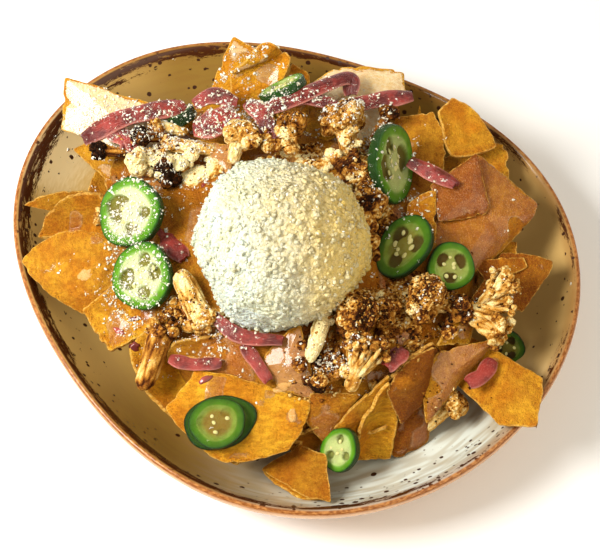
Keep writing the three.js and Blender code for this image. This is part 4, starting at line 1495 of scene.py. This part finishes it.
@dataclass
class JalapenoSlices:
    """Slices of jalapeno with ribs, hollows and seeds."""

    FACETS = 96

    finish: Material

    def slice(self, name: str, row: SliceRow, number: int, seed_lump: Lump) -> Piece:
        """Builds one slice."""
        half = row.thick / 2
        radius = row.radius
        rings = max(14, int(radius / 0.62))
        flat = [(radius * 0.93 * k / rings, half) for k in range(rings + 1)]
        round_off = [
            (radius * 0.965, half * 0.96), (radius * 0.99, half * 0.78), (radius, half * 0.4),
            (radius, 0)]
        upper = flat + round_off
        profile = [(r, -h) for r, h in upper[:-1]] + upper[::-1]
        piece = turned(f"jalapeno_slice_{name}", np.array(profile), self.FACETS)
        points = points_of(piece)
        x, y, z = points.T
        angle = np.arctan2(y, x)
        reach = np.hypot(x, y) / radius
        face = np.sign(z) * (np.abs(z) > half * 0.99)
        outline = 1 + 0.025 * np.cos(3 * angle + number) + 0.015 * np.cos(5 * angle + 2 * number)
        hollow = np.zeros(len(points))
        pith = row.pith
        for k, (turn, size) in enumerate(pith.hollows):
            way = math.radians(turn)
            off = (angle - way + math.pi) % math.tau - math.pi
            bend = smooth_noise(points, 4.5, number * 9 + k)
            shape = ((reach - 0.5) / (0.16 + 0.06 * size)) ** 2
            shape += (reach * off / (0.3 * size)) ** 2 + 0.35 * bend
            hollow = np.maximum(hollow, 1 - ease(shape, 0.8, 1.1))
        sunk = 0.75 * (1 - ease(reach, 0.56, 0.68))
        uneven = 0.35 * smooth_noise(points, 3.2, number + 40) * (1 - ease(reach, 0.8, 0.95))
        depth = sunk + 0.85 * half * hollow * min(1.0, pith.depth + 0.25)
        depth = np.minimum(depth, half - 0.15)
        z = z - face * depth + face * uneven
        shaped = np.column_stack([x * outline, y * outline, z])
        keep(piece, reach=reach, hollow=hollow * pith.depth * (face > 0),
             ripe=pith.ripe * (1 - ease(reach, 0.4, 0.62)),
             dusty=pith.dusty * (1 - ease(reach, 0.6, 0.8)) * (face > 0), dusk=row.dusk)
        move_points(piece, self.placed(shaped, row))
        seeds = Heap()
        random = np.random.default_rng(Seed.SLICES + number)
        for k in range(pith.seeds):
            way = math.tau * (k + random.uniform(-0.3, 0.3)) / pith.seeds
            out = radius * random.uniform(0.12, 0.5)
            at = np.array([out * math.cos(way), out * math.sin(way), half - 0.75])
            size = np.array([1.35, 1.1, 0.5]) * random.uniform(0.8, 1.15) * min(1.0, radius / 13)
            tilt = np.array([random.uniform(-0.5, 0.5), random.uniform(-0.5, 0.5), 1.0])
            turn = rotation_to(tilt / norm(tilt), random.uniform(0, 180))
            lump = (seed_lump.points * size) @ turn.T + at
            seeds.add(self.placed(lump, row), seed_lump.faces, seed=1.0, reach=0.2)
        piece = join([piece, seeds.make(f"jalapeno_seeds_{name}")], piece.name)
        return dress(piece, self.finish, "jalapeno", [f"jalapeno_{name}"])

    @staticmethod
    def placed(points: Array, row: SliceRow) -> Array:
        """Turns points from a slice's own frame to where the slice lies."""
        way, rise = row.facing
        tip = math.radians(90 - rise)
        lean = np.array([
            [math.cos(tip), 0, math.sin(tip)], [0, 1, 0], [-math.sin(tip), 0, math.cos(tip)]])
        turn = about_z(way) @ lean @ about_z(row.spin)
        return (points * (row.long, 1, 1)) @ turn.T + row.at

    def build(self) -> list[Piece]:
        """Builds all slices."""
        lump = pebble_lump(2)
        return [
            self.slice(name, row, number, lump)
            for number, (name, row) in enumerate(JALAPENOS.items())]


# ---- Pickled red onion ----


@dataclass
class OnionStrips:
    """Strips of pickled red onion, curled along and across."""

    finish: Material

    @staticmethod
    def path(places: list[Place], part: Array) -> Array:
        """Points of a smooth curve through the places."""
        knots = np.array(places, dtype=float)
        if len(knots) == 2:
            return knots[0] + (knots[1] - knots[0]) * part[:, None]
        knots = np.vstack([2 * knots[0] - knots[1], knots, 2 * knots[-1] - knots[-2]])
        spans = len(knots) - 3
        at = np.clip(part * spans, 0, spans - 1e-6)
        first = np.floor(at).astype(int)
        t = (at - first)[:, None]
        a, b, c, d = (knots[first + k] for k in range(4))
        return 0.5 * (
            2 * b + (c - a) * t + (2 * a - 5 * b + 4 * c - d) * t**2
            + (3 * b - a - 3 * c + d) * t**3)

    def strip(self, name: str, row: StripRow, number: int) -> Piece:
        """Builds one strip."""
        piece = primitive("grid", x_subdivisions=36, y_subdivisions=10, size=1.0)
        grid = points_of(piece) * MM
        part, across = grid[:, 0] + 0.5, grid[:, 1]
        middle = self.path(row.places, part)
        ahead = self.path(row.places, np.clip(part + 0.01, 0, 1))
        along = ahead - self.path(row.places, np.clip(part - 0.01, 0, 1))
        along /= norm(along, axis=1)[:, None]
        sideways = np.cross((0, 0, 1), along)
        sideways /= norm(sideways, axis=1)[:, None]
        above = np.cross(along, sideways)
        taper = 1 - 0.45 * (2 * part - 1) ** 4
        width = row.width * taper * (1 + 0.1 * np.sin(9 * part + number))
        vault = row.thick * (0.5 - 1.4 * across**2)
        ripple = 0.3 * smooth_noise(middle + sideways * across[:, None] * 6, 5, number + 70)
        points = middle + sideways * (across * width)[:, None] + above * (vault + ripple)[:, None]
        ends = ease(np.abs(2 * part - 1), 0.9, 1.0) * smooth_noise(points, 2.5, number + 71)
        move_points(piece, points + along * ends[:, None] * 0.8)
        keep(piece, across=2 * across, along=part * len(row.places), strand=float(number))
        thicken(piece, 0.62 * row.thick, 0.5)
        apply_modifier(piece, "SUBSURF", levels=1)
        piece.name = piece.data.name = f"onion_strip_{name}"
        return dress(piece, self.finish, "pickled_onion", [f"onion_{name}"])

    def build(self) -> list[Piece]:
        """Builds all strips."""
        return [
            self.strip(name, row, number) for number, (name, row) in enumerate(ONIONS.items())]


# ---- Roasted cauliflower ----


def remeshed(piece: Piece, voxel: float, rounds: int) -> Array:
    """Melts the shapes of a piece into one skin and rounds off where they meet.

    Args:
        piece: closed shapes that overlap.
        voxel: how fine the skin is, in millimetres.
        rounds: how often it is smoothed.

    Returns:
        The places of the new vertices, in millimetres.
    """
    apply_modifier(piece, "REMESH", mode="VOXEL", voxel_size=voxel * MM)
    apply_modifier(piece, "SMOOTH", factor=0.5, iterations=rounds)
    return points_of(piece)


def curd(points: Array, number: int) -> tuple[Array, Array]:
    """Relief of roasted curd, buds with finer buds on them, and how roasted each bud is.

    Args:
        points: places on the skin, in millimetres.
        number: which pattern it is.

    Returns:
        The height from 0 to 1, and the uneven roast from -0.5 to 0.5.
    """
    warped = points + 1.3 * smooth_noise(points, 2.4, number)[:, None]
    big, big_tone = packed_grains(warped, 3.3, number)
    small, small_tone = packed_grains(points + 0.4 * smooth_noise(points, 0.9, 3)[:, None],
                                      1.05, number + 1)
    tone = 0.45 * big_tone + 0.55 * small_tone - 0.5
    return 0.45 * big + 0.55 * small, tone


@dataclass
class CauliflowerFlorets:
    """Roasted florets: a grooved stalk that branches into curd, melted into one skin."""

    VOXEL = 0.38
    THREADS = 9
    BRANCHES = 30
    TIPS = 3
    BUDS = 70

    finish: Material

    @staticmethod
    def stalk(ball: Lump, start: Array, end: Array, wide: float, narrow: float) -> Array:
        """A tapered stalk between two places, from a stretched ball."""
        way = end - start
        length = norm(way)
        part = 0.5 + 0.5 * ball.points[:, 2]
        girth = narrow + (wide - narrow) * part
        full = np.clip(1 - ball.points[:, 2] ** 6, 0, 1) ** 0.5
        ring = ball.points[:, :2] / np.maximum(norm(ball.points[:, :2], axis=1), 1e-6)[:, None]
        shaped = np.column_stack([
            ring * (girth * full)[:, None],
            ball.points[:, 2] * (0.5 * length + 0.3 * wide)])
        return shaped @ rotation_to(way / length).T + 0.5 * (start + end)

    def strands(self, heap: Heap, row: FloretRow, turn: Array, number: int) -> None:
        """Adds fine torn threads at a cut end."""
        random = np.random.default_rng(Seed.STRANDS + number)
        ball = pebble_lump(2)
        _, head = row.ends()
        for _ in range(self.THREADS):
            way = turn @ np.append(random.normal(size=2) * 0.55, random.uniform(0.3, 1.0))
            way[2] = abs(way[2]) * 0.8
            way /= norm(way)
            start = head - way * 0.3 * row.radius + random.normal(size=3) * 0.16 * row.radius
            reach = row.radius * random.uniform(0.9, 1.3)
            thread = self.stalk(ball, start, start + way * reach, random.uniform(0.2, 0.45),
                                random.uniform(0.4, 0.8))
            thread += 0.8 * np.stack([
                smooth_noise(thread, 5, number + k) for k in range(3)], axis=1)
            rise = ((thread - start) @ way / reach) ** 3
            heap.add(thread, ball.faces, roast=0.1 + random.uniform(0, 0.2) + 0.35 * rise)

    def fan(
        self, heap: Heap, row: FloretRow, turn: Array, number: int, ball: Lump
    ) -> tuple[list[Array], list[float]]:
        """Adds branches that spread from the stalk like a torn brush, with buds at the tips.

        Args:
            heap: what the shapes are added to.
            row: the floret's row.
            turn: the floret's own directions, its axis last.
            number: which floret it is.
            ball: the ball that is stretched.

        Returns:
            The middles and the sizes of the buds.
        """
        random = np.random.default_rng(Seed.FANS + number)
        foot, head = row.ends()
        length = norm(head - foot) + 0.75 * row.radius
        fork = foot + turn[:, 2] * 0.3 * length
        middles, sizes = [], []
        for _ in range(self.BRANCHES):
            way = turn @ np.append(random.uniform(-0.75, 0.75, 2), 1.0)
            tip = fork + way / norm(way) * 0.72 * length * random.uniform(0.72, 1.0)
            start = foot + turn[:, 2] * random.uniform(0.0, 0.3) * length
            heap.add(self.stalk(ball, start, tip, 0.085 * row.radius, 0.1 * row.radius),
                     ball.faces)
            for _ in range(self.TIPS):
                size = row.radius * random.uniform(0.1, 0.17)
                middle = tip + random.normal(size=3) * 0.09 * row.radius
                heap.add(ball.points * size + middle, ball.faces)
                middles.append(middle)
                sizes.append(size)
        return middles, sizes

    def floret(
        self, name: str, row: FloretRow, number: int, lumps: tuple[Lump, Lump, Lump]
    ) -> Piece:
        """Builds one floret.

        Args:
            name: the floret's name in the table.
            row: its row.
            number: which one it is, to vary the noise.
            lumps: balls to copy, from the plainest to the finest.

        Returns:
            The dressed piece.
        """
        tiny, coarse, fine = lumps
        random = np.random.default_rng(Seed.FLORETS + number)
        foot, head = row.ends()
        axis = (head - foot) / norm(head - foot)
        turn = rotation_to(axis, 40.0 * number)
        bare = row.cut is Cut.STALK
        girth = 0.62 if bare else 0.42
        heap = Heap()
        heap.add(self.stalk(fine, foot, head, girth * row.radius, 0.75 * girth * row.radius),
                 fine.faces)
        middles, sizes = [], []
        if row.cut is Cut.FAN:
            middles, sizes = self.fan(heap, row, turn, number, coarse)
            knobs = 0
        else:
            knobs = 5 if row.radius < 8 else 8
        for k in range(knobs):
            rise = 1.0 - 1.3 * (k + 0.5) / knobs
            swing = 2.4 * k + random.uniform(-0.5, 0.5)
            flat = math.sqrt(1 - min(1, rise * rise))
            way = turn @ np.array([flat * math.cos(swing), flat * math.sin(swing), 0.8 * rise])
            size = row.radius * random.uniform(0.36, 0.58) * (0.7 if bare else 1.0)
            middle = head + way * (row.radius - size) * random.uniform(0.8, 1.0)
            heap.add(self.stalk(coarse, head - axis * 0.5 * row.radius, middle,
                                0.26 * row.radius, 0.14 * row.radius), coarse.faces)
            squash = turn @ np.diag(random.uniform(0.65, 1.1, 3)) @ turn.T
            ball = (fine.points @ squash.T) * size
            ball += fine.points * (0.5 * size * smooth_noise(ball + middle, 4.2, k))[:, None]
            heap.add(ball + middle, fine.faces)
            middles.append(middle)
            sizes.append(size)
        scorch = row.char + random.uniform(-0.2, 0.14, len(sizes))
        piece = heap.make(f"cauliflower_floret_{name}")
        points = remeshed(piece, self.VOXEL, 2)
        away = norm(points[:, None] - np.array(middles), axis=2) / np.array(sizes)
        crown = 1 - ease(away.min(axis=1), 0.95, 1.35)
        shares = np.exp(-2 * away**2) + 1e-9
        roast = (shares @ scorch) / shares.sum(axis=1)
        local = (points - foot) @ turn
        grooves = grain_noise(local * (1, 1, 0.16), 1.7, number + 11)
        relief, tone = curd(points, number * 7)
        rough = 1.1 + 0.5 * row.char
        height = crown * rough * (relief - 0.5) + (1 - crown) * (0.7 * grooves - 0.35)
        height += 0.35 * smooth_noise(points, 1.7, number + 5)
        move_points(piece, points + normals_of(piece) * height[:, None])
        # Stalk colour: its char and uneven roast, darker in the grooves as painted shade.
        core = (0.75 if bare else 0.55) * row.char + 0.5 * (0.5 - grooves)
        core += 0.2 * smooth_noise(points, 4, number)
        # Painted shade: darker in the crevices between buds, where the relief is low; the grain tone
        # adds uneven roast.
        roast += 0.5 * (0.45 - relief) + 0.6 * tone
        keep(piece, roast=crown * roast + (1 - crown) * core)
        extra = Heap()
        if bare:
            self.strands(extra, row, turn, number)
        surface = points_of(piece)
        for spot in random.choice(np.flatnonzero(crown > 0.8), self.BUDS):
            bud = tiny.points * random.uniform(0.16, 0.4)
            bud = bud * (1 + 0.45 * random.uniform(-1, 1, (len(bud), 1)))
            extra.add(bud + surface[spot], tiny.faces,
                      roast=roast[spot] + random.uniform(-0.35, 0.2))
        piece = join([piece, extra.make("buds")], piece.name)
        return dress(piece, self.finish, "roasted_cauliflower", [f"cauliflower_{name}"])

    def build(self) -> list[Piece]:
        """Builds all florets."""
        lumps = (pebble_lump(1), pebble_lump(2), pebble_lump(4))
        return [
            self.floret(name, row, number, lumps)
            for number, (name, row) in enumerate(FLORETS.items())]


# ---- What is dropped on the heap: crumbs, drops, scraps and broken ends ----


class Ground:
    """The top surface of finished pieces, felt from above."""

    def __init__(self, pieces: Sequence[Piece]) -> None:
        """Reads the pieces."""
        bpy.context.view_layer.update()
        depsgraph = bpy.context.evaluated_depsgraph_get()
        self.trees = []
        for piece in pieces:
            points = points_of(piece)
            tree = BVHTree.FromObject(piece, depsgraph)
            self.trees.append((tree, points.min(axis=0), points.max(axis=0)))

    def under(self, x: float, y: float) -> tuple[Array, Array] | None:
        """Highest place under a point, with its normal, in millimetres."""
        best = None
        for tree, low, high in self.trees:
            if not (low[0] <= x <= high[0] and low[1] <= y <= high[1]):
                continue
            hit, normal, _, _ = tree.ray_cast(Vector((x, y, 200)) * MM, Vector((0, 0, -1)))
            if hit is not None and (best is None or hit.z > best[0].z):
                best = (hit, normal)
        if best is None:
            return None
        return np.array(best[0]) / MM, np.array(best[1])


class Patch(NamedTuple):
    """A patch of crumbs: its middle, its reach across and along, and its share of them."""

    x: float
    y: float
    across: float
    along: float
    share: float


def spot_in(patches: Sequence[Patch], random: np.random.Generator) -> tuple[float, float]:
    """A random place in one of the patches, each picked as often as its share says."""
    shares = np.array([patch.share for patch in patches], dtype=float)
    patch = patches[random.choice(len(shares), p=shares / shares.sum())]
    x = patch.x + patch.across * random.normal() * 0.5
    return x, patch.y + patch.along * random.normal() * 0.5


@dataclass
class Crumbs:
    """Crumbs dropped over the heap, each patch with its share."""

    LOWEST = 22.0
    STEEPEST = 0.2
    DUST_SIZE = 0.45

    name: str
    finish: Material
    slot: str
    ground: Ground
    patches: Sequence[Patch]
    count: int
    sizes: tuple[float, float]
    roast: tuple[float, float] = (0.0, 0.0)
    on_scoop: bool = True
    seed: int = Seed.CHEESE
    clump: int = 1

    def build(self) -> Piece:
        """Drops irregular crumbs on the surface below each patch."""
        random = np.random.default_rng(self.seed)
        grain = pebble_lump(1)
        dust = Lump(np.vstack([np.eye(3), -np.eye(3)]), np.array([
            (0, 1, 2), (1, 3, 2), (3, 4, 2), (4, 0, 2),
            (1, 0, 5), (3, 1, 5), (4, 3, 5), (0, 4, 5)]))
        heap = Heap()
        for _ in range(self.count):
            x, y = spot_in(self.patches, random)
            found = self.ground.under(x, y)
            off_scoop = math.dist((x, y), SCOOP_AT[:2]) > SCOOP_RADIUS
            if found is None or not (off_scoop or self.on_scoop):
                continue
            at, normal = found
            if normal[2] < self.STEEPEST or at[2] < self.LOWEST:
                continue
            turn = rotation_to(normal, random.uniform(0, 360))
            roast = random.uniform(*self.roast)
            for _ in range(random.integers(1, self.clump + 1)):
                size = self.sizes[0] + (self.sizes[1] - self.sizes[0]) * random.random() ** 4
                lump = grain if size > self.DUST_SIZE else dust
                shape = lump.points * (1 + 0.6 * random.uniform(-1, 1, (len(lump.points), 1)))
                shape = shape * size * random.uniform((0.6, 0.5, 0.3), (1.7, 1.2, 0.9))
                shape[:, :2] += random.normal(size=2) * (0.5 if self.clump > 1 else 0.0)
                heap.add(shape @ turn.T + at + normal * size * 0.4, lump.faces, roast=roast)
        return dress(heap.make(self.name), self.finish, self.slot)


class PoolRow(NamedTuple):
    """A thin pool: its middle, its reach across and along, its turn and its thickness."""

    x: float
    y: float
    across: float
    along: float
    turn: float
    thick: float


@dataclass
class Pools:
    """Thin pools and drops that follow what they lie on."""

    RINGS = 9
    STEPS = 40
    LARGEST_STEP = 4.0
    SUNK = 0.15

    name: str
    finish: Material
    slot: str
    ground: Ground
    rows: Sequence[PoolRow]

    def build(self) -> Piece:
        """Drapes a domed disc for each row."""
        rings, steps = self.RINGS, self.STEPS
        heap = Heap()
        for number, row in enumerate(self.rows):
            shares = np.repeat(np.arange(1, rings + 1) / rings, steps)
            angles = np.tile(np.arange(steps) * math.tau / steps, rings)
            flat = np.column_stack([np.cos(angles), np.sin(angles), np.zeros(len(angles))])
            wobble = 1 + 0.3 * smooth_noise(flat * 1.5, 0.8, Seed.POOLS + number)
            u = np.append(0.0, row.across * shares * wobble * flat[:, 0])
            v = np.append(0.0, row.along * shares * wobble * flat[:, 1])
            cos, sin = math.cos(math.radians(row.turn)), math.sin(math.radians(row.turn))
            x, y = row.x + u * cos - v * sin, row.y + u * sin + v * cos
            dome = np.sqrt(np.clip(1 - np.append(0.0, shares) ** 4, 0, 1))
            points, last = [], None
            for k in range(len(x)):
                found = self.ground.under(float(x[k]), float(y[k]))
                if found is None or (last is not None and abs(found[0][2] - last) > self.LARGEST_STEP):
                    height = last if last is not None else 10.0
                    normal = np.array([0.0, 0.0, 1.0])
                else:
                    height, normal = found[0][2], found[1]
                last = height
                rise = row.thick * dome[k] - self.SUNK
                points.append(np.array([x[k], y[k], height]) + normal * rise)
            faces = [(0, 1 + k, 1 + (k + 1) % steps) for k in range(steps)]
            for ring in range(rings - 1):
                for k in range(steps):
                    low, high = 1 + ring * steps, 1 + (ring + 1) * steps
                    after = (k + 1) % steps
                    faces.append((low + k, high + k, high + after))
                    faces.append((low + k, high + after, low + after))
            heap.add(np.array(points), np.array(faces), across=0.2, along=0.3 * number,
                     strand=float(number))
        piece = heap.make(self.name)
        edit(piece, "normals_make_consistent", inside=False)
        return dress(piece, self.finish, self.slot)


SAUCE_POOLS = (
    PoolRow(-100, -18, 3.6, 2.6, 20, 0.5), PoolRow(-5, -78, 4, 2.2, 20, 0.5),
    PoolRow(0, -91, 2, 3.6, 0, 0.5))
ONION_SCRAPS = (
    PoolRow(-74, -56, 2.6, 1.8, 0, 0.8), PoolRow(-40, -74, 3.2, 1.8, 30, 0.9),
    PoolRow(-83, -43, 3.4, 1.4, -30, 0.8), PoolRow(-76, -38, 2.6, 1.2, -10, 0.8))


@dataclass
class RoastedBed:
    """Broken ends of cauliflower that fill the gaps between the florets."""

    LUMPS = 880
    VOXEL = 0.6
    HIGHEST = 74.0
    STEEPEST = 0.3

    finish: Material
    ground: Ground

    @staticmethod
    def beside(row: FloretRow, x: float, y: float) -> float:
        """How far a place is from a floret's axis, seen from above."""
        foot, head = (end[:2] for end in row.ends())
        axis = head - foot
        part = np.clip((np.array([x, y]) - foot) @ axis / (axis @ axis), 0.0, 1.0)
        return float(norm(foot + part * axis - (x, y)))

    def build(self) -> Piece:
        """Lays crumbly lumps on the heap beside the scoop."""
        random = np.random.default_rng(Seed.BED)
        ball = pebble_lump(2)
        bare = [row for row in FLORETS.values() if row.cut is Cut.STALK]
        heap = Heap()
        for _ in range(self.LUMPS):
            x, y = spot_in(BED_PATCHES, random)
            found = self.ground.under(x, y)
            if found is None or found[1][2] < self.STEEPEST or found[0][2] > self.HIGHEST:
                continue
            if any(self.beside(row, x, y) < 0.5 * row.radius + 1.5 for row in bare):
                continue
            size = random.uniform(1.4, 3.8)
            lump = ball.points * random.uniform((0.8, 0.8, 0.3), (1.4, 1.4, 0.7)) * size
            heap.add(lump + found[0], ball.faces)
        piece = heap.make("roasted_broken_ends")
        points = remeshed(piece, self.VOXEL, 1)
        relief, tone = curd(points, 31)
        height = 1.3 * relief - 0.7 + smooth_noise(points, 4.5, 33)
        move_points(piece, points + normals_of(piece) * height[:, None])
        scorch = 0.54 + 0.25 * smooth_noise(points, 9, 34) + 0.3 * smooth_noise(points, 4, 35)
        for spot in GOLDEN_SPOTS:
            away = ((points[:, 0] - spot.x) / spot.across) ** 2
            away += ((points[:, 1] - spot.y) / spot.along) ** 2
            scorch -= spot.share * np.exp(-away)
        # The roast is darker in the crevices between the lumps, as painted shade.
        keep(piece, roast=scorch + 0.6 * (0.5 - relief) + 0.8 * tone)
        return dress(piece, self.finish, "roasted_cauliflower")


BED_PATCHES = (
    Patch(36, 14, 10, 22, 9), Patch(20, 44, 22, 10, 4), Patch(34, -44, 26, 16, 13),
    Patch(62, -36, 22, 12, 8), Patch(16, -66, 10, 12, 4), Patch(-50, -34, 8, 12, 2),
    Patch(-56, 42, 18, 9, 3), Patch(-4, 46, 26, 7, 3))
GOLDEN_SPOTS = (
    Patch(-56, 40, 26, 12, 0.7), Patch(-4, 48, 20, 8, 0.3),
    Patch(24, 41, 18, 11, 0.6), Patch(62, -30, 9, 6, 0.4), Patch(42, -36, 6, 5, 0.3))
CHEESE_PATCHES = (
    Patch(-60, 50, 34, 26, 24), Patch(-78, 4, 14, 18, 10), Patch(-74, -28, 20, 18, 10),
    Patch(-20, 70, 34, 16, 14), Patch(30, 62, 26, 18, 9), Patch(45, 22, 26, 22, 4),
    Patch(70, -38, 26, 16, 2), Patch(-40, -52, 26, 16, 5), Patch(18, -68, 18, 10, 4),
    Patch(-10, -10, 34, 34, 3), Patch(-25, 98, 22, 10, 4), Patch(-95, 75, 22, 12, 5),
    Patch(0, 0, 95, 85, 4))
ROAST_PATCHES = (
    Patch(-70, 45, 20, 12, 5), Patch(0, 52, 30, 14, 8), Patch(36, 26, 16, 24, 10),
    Patch(32, -46, 28, 20, 20), Patch(66, -34, 24, 16, 16), Patch(-55, -42, 16, 12, 6),
    Patch(12, -76, 14, 8, 4), Patch(70, -80, 14, 10, 3))


# ---- Studio ----


@dataclass
class Studio:
    """The floor, the light and the camera."""

    target: Place = (3.4, -13.4, 36.0)
    elevation: float = 60.0
    distance: float = 0.686

    def floor(self) -> None:
        """Lays a plain pale floor under the plate."""
        floor = primitive("plane", size=6.0)
        floor.name = "studio_floor"
        floor.data.materials.append(StudioFloor().material())

    @staticmethod
    def lamp(name: str, place: Place, size: float, power: float, tint: Sequence[float]) -> None:
        """Hangs a square soft light that looks at the plate."""
        data = bpy.data.lights.new(name, "AREA")
        data.size, data.energy, data.color = size, power, tint
        lamp = bpy.data.objects.new(name, data)
        bpy.context.collection.objects.link(lamp)
        lamp.location = place
        lamp.rotation_euler = (Vector((0, 0, 0.04)) - Vector(place)).to_track_quat(
            "-Z", "Y").to_euler()

    def world(self) -> None:
        """Fills the room with pale light."""
        world = bpy.data.worlds.new("studio_world")
        world.use_nodes = True
        background = world.node_tree.nodes["Background"]
        background.inputs["Color"].default_value = (1.0, 0.97, 0.92, 1.0)
        background.inputs["Strength"].default_value = 0.42
        bpy.context.scene.world = world

    def camera(self) -> None:
        """Looks down on the plate from the near side."""
        data = bpy.data.cameras.new("studio_camera")
        data.lens, data.sensor_width = 84.0, 36.0
        camera = bpy.data.objects.new("studio_camera", data)
        bpy.context.collection.objects.link(camera)
        angle = math.radians(self.elevation)
        away = Vector((0, -math.cos(angle), math.sin(angle))) * self.distance
        camera.location = Vector(self.target) * MM + away
        camera.rotation_euler = (math.radians(90 - self.elevation), 0, 0)
        bpy.context.scene.camera = camera

    def build(self) -> None:
        """Sets the room up."""
        self.floor()
        self.world()
        self.lamp("key_light", (-0.48, -0.12, 0.56), size=0.32, power=8.9,
                  tint=(1.0, 0.985, 0.94))
        self.lamp("fill_light", (0.6, -0.4, 0.8), size=1.0, power=5.9, tint=(1.0, 0.88, 0.66))
        self.camera()
        bpy.context.scene.view_settings.view_transform = "Standard"


def bare_ground(pieces: Sequence[Piece]) -> Ground:
    """What crumbs fall on under the slices of jalapeno."""
    return Ground([piece for piece in pieces if "jalapeno" not in piece.name])


def main() -> None:
    """Builds the food and its plate, then the room."""
    logging.basicConfig(level=logging.INFO)
    effects = Effects.build()
    pieces = [Plate(PlateGlaze().material(effects)).build()]
    pieces += TortillaHeap(TortillaFinish().material(effects)).build()
    pieces.append(GuacamoleScoop(GuacamoleFinish().material(effects)).build())
    pieces += JalapenoSlices(JalapenoFinish().material(effects)).build()
    pickled = OnionFinish().material(effects)
    pieces += OnionStrips(pickled).build()
    cauliflower = CauliflowerFinish().material(effects)
    pieces += CauliflowerFlorets(cauliflower).build()
    under = bare_ground(pieces)
    pieces.append(RoastedBed(cauliflower, under).build())
    pieces.append(Pools("sauce_pools", SauceFinish().material(), "tortilla_chip", under,
                        SAUCE_POOLS).build())
    pieces.append(Pools("onion_scraps", pickled, "pickled_onion", under, ONION_SCRAPS).build())
    Crumbs("roasted_crumbs", cauliflower, "roasted_cauliflower", bare_ground(pieces),
           ROAST_PATCHES, count=4600, sizes=(0.2, 0.8), roast=(0.0, 0.8), on_scoop=False,
           seed=Seed.ROAST).build()
    Crumbs("cheese_crumbs", CheeseFinish().material(effects), "tortilla_chip", Ground(pieces),
           CHEESE_PATCHES, count=5200, sizes=(0.12, 0.66), clump=7).build()
    Studio().build()


if __name__ == "__main__":
    main()
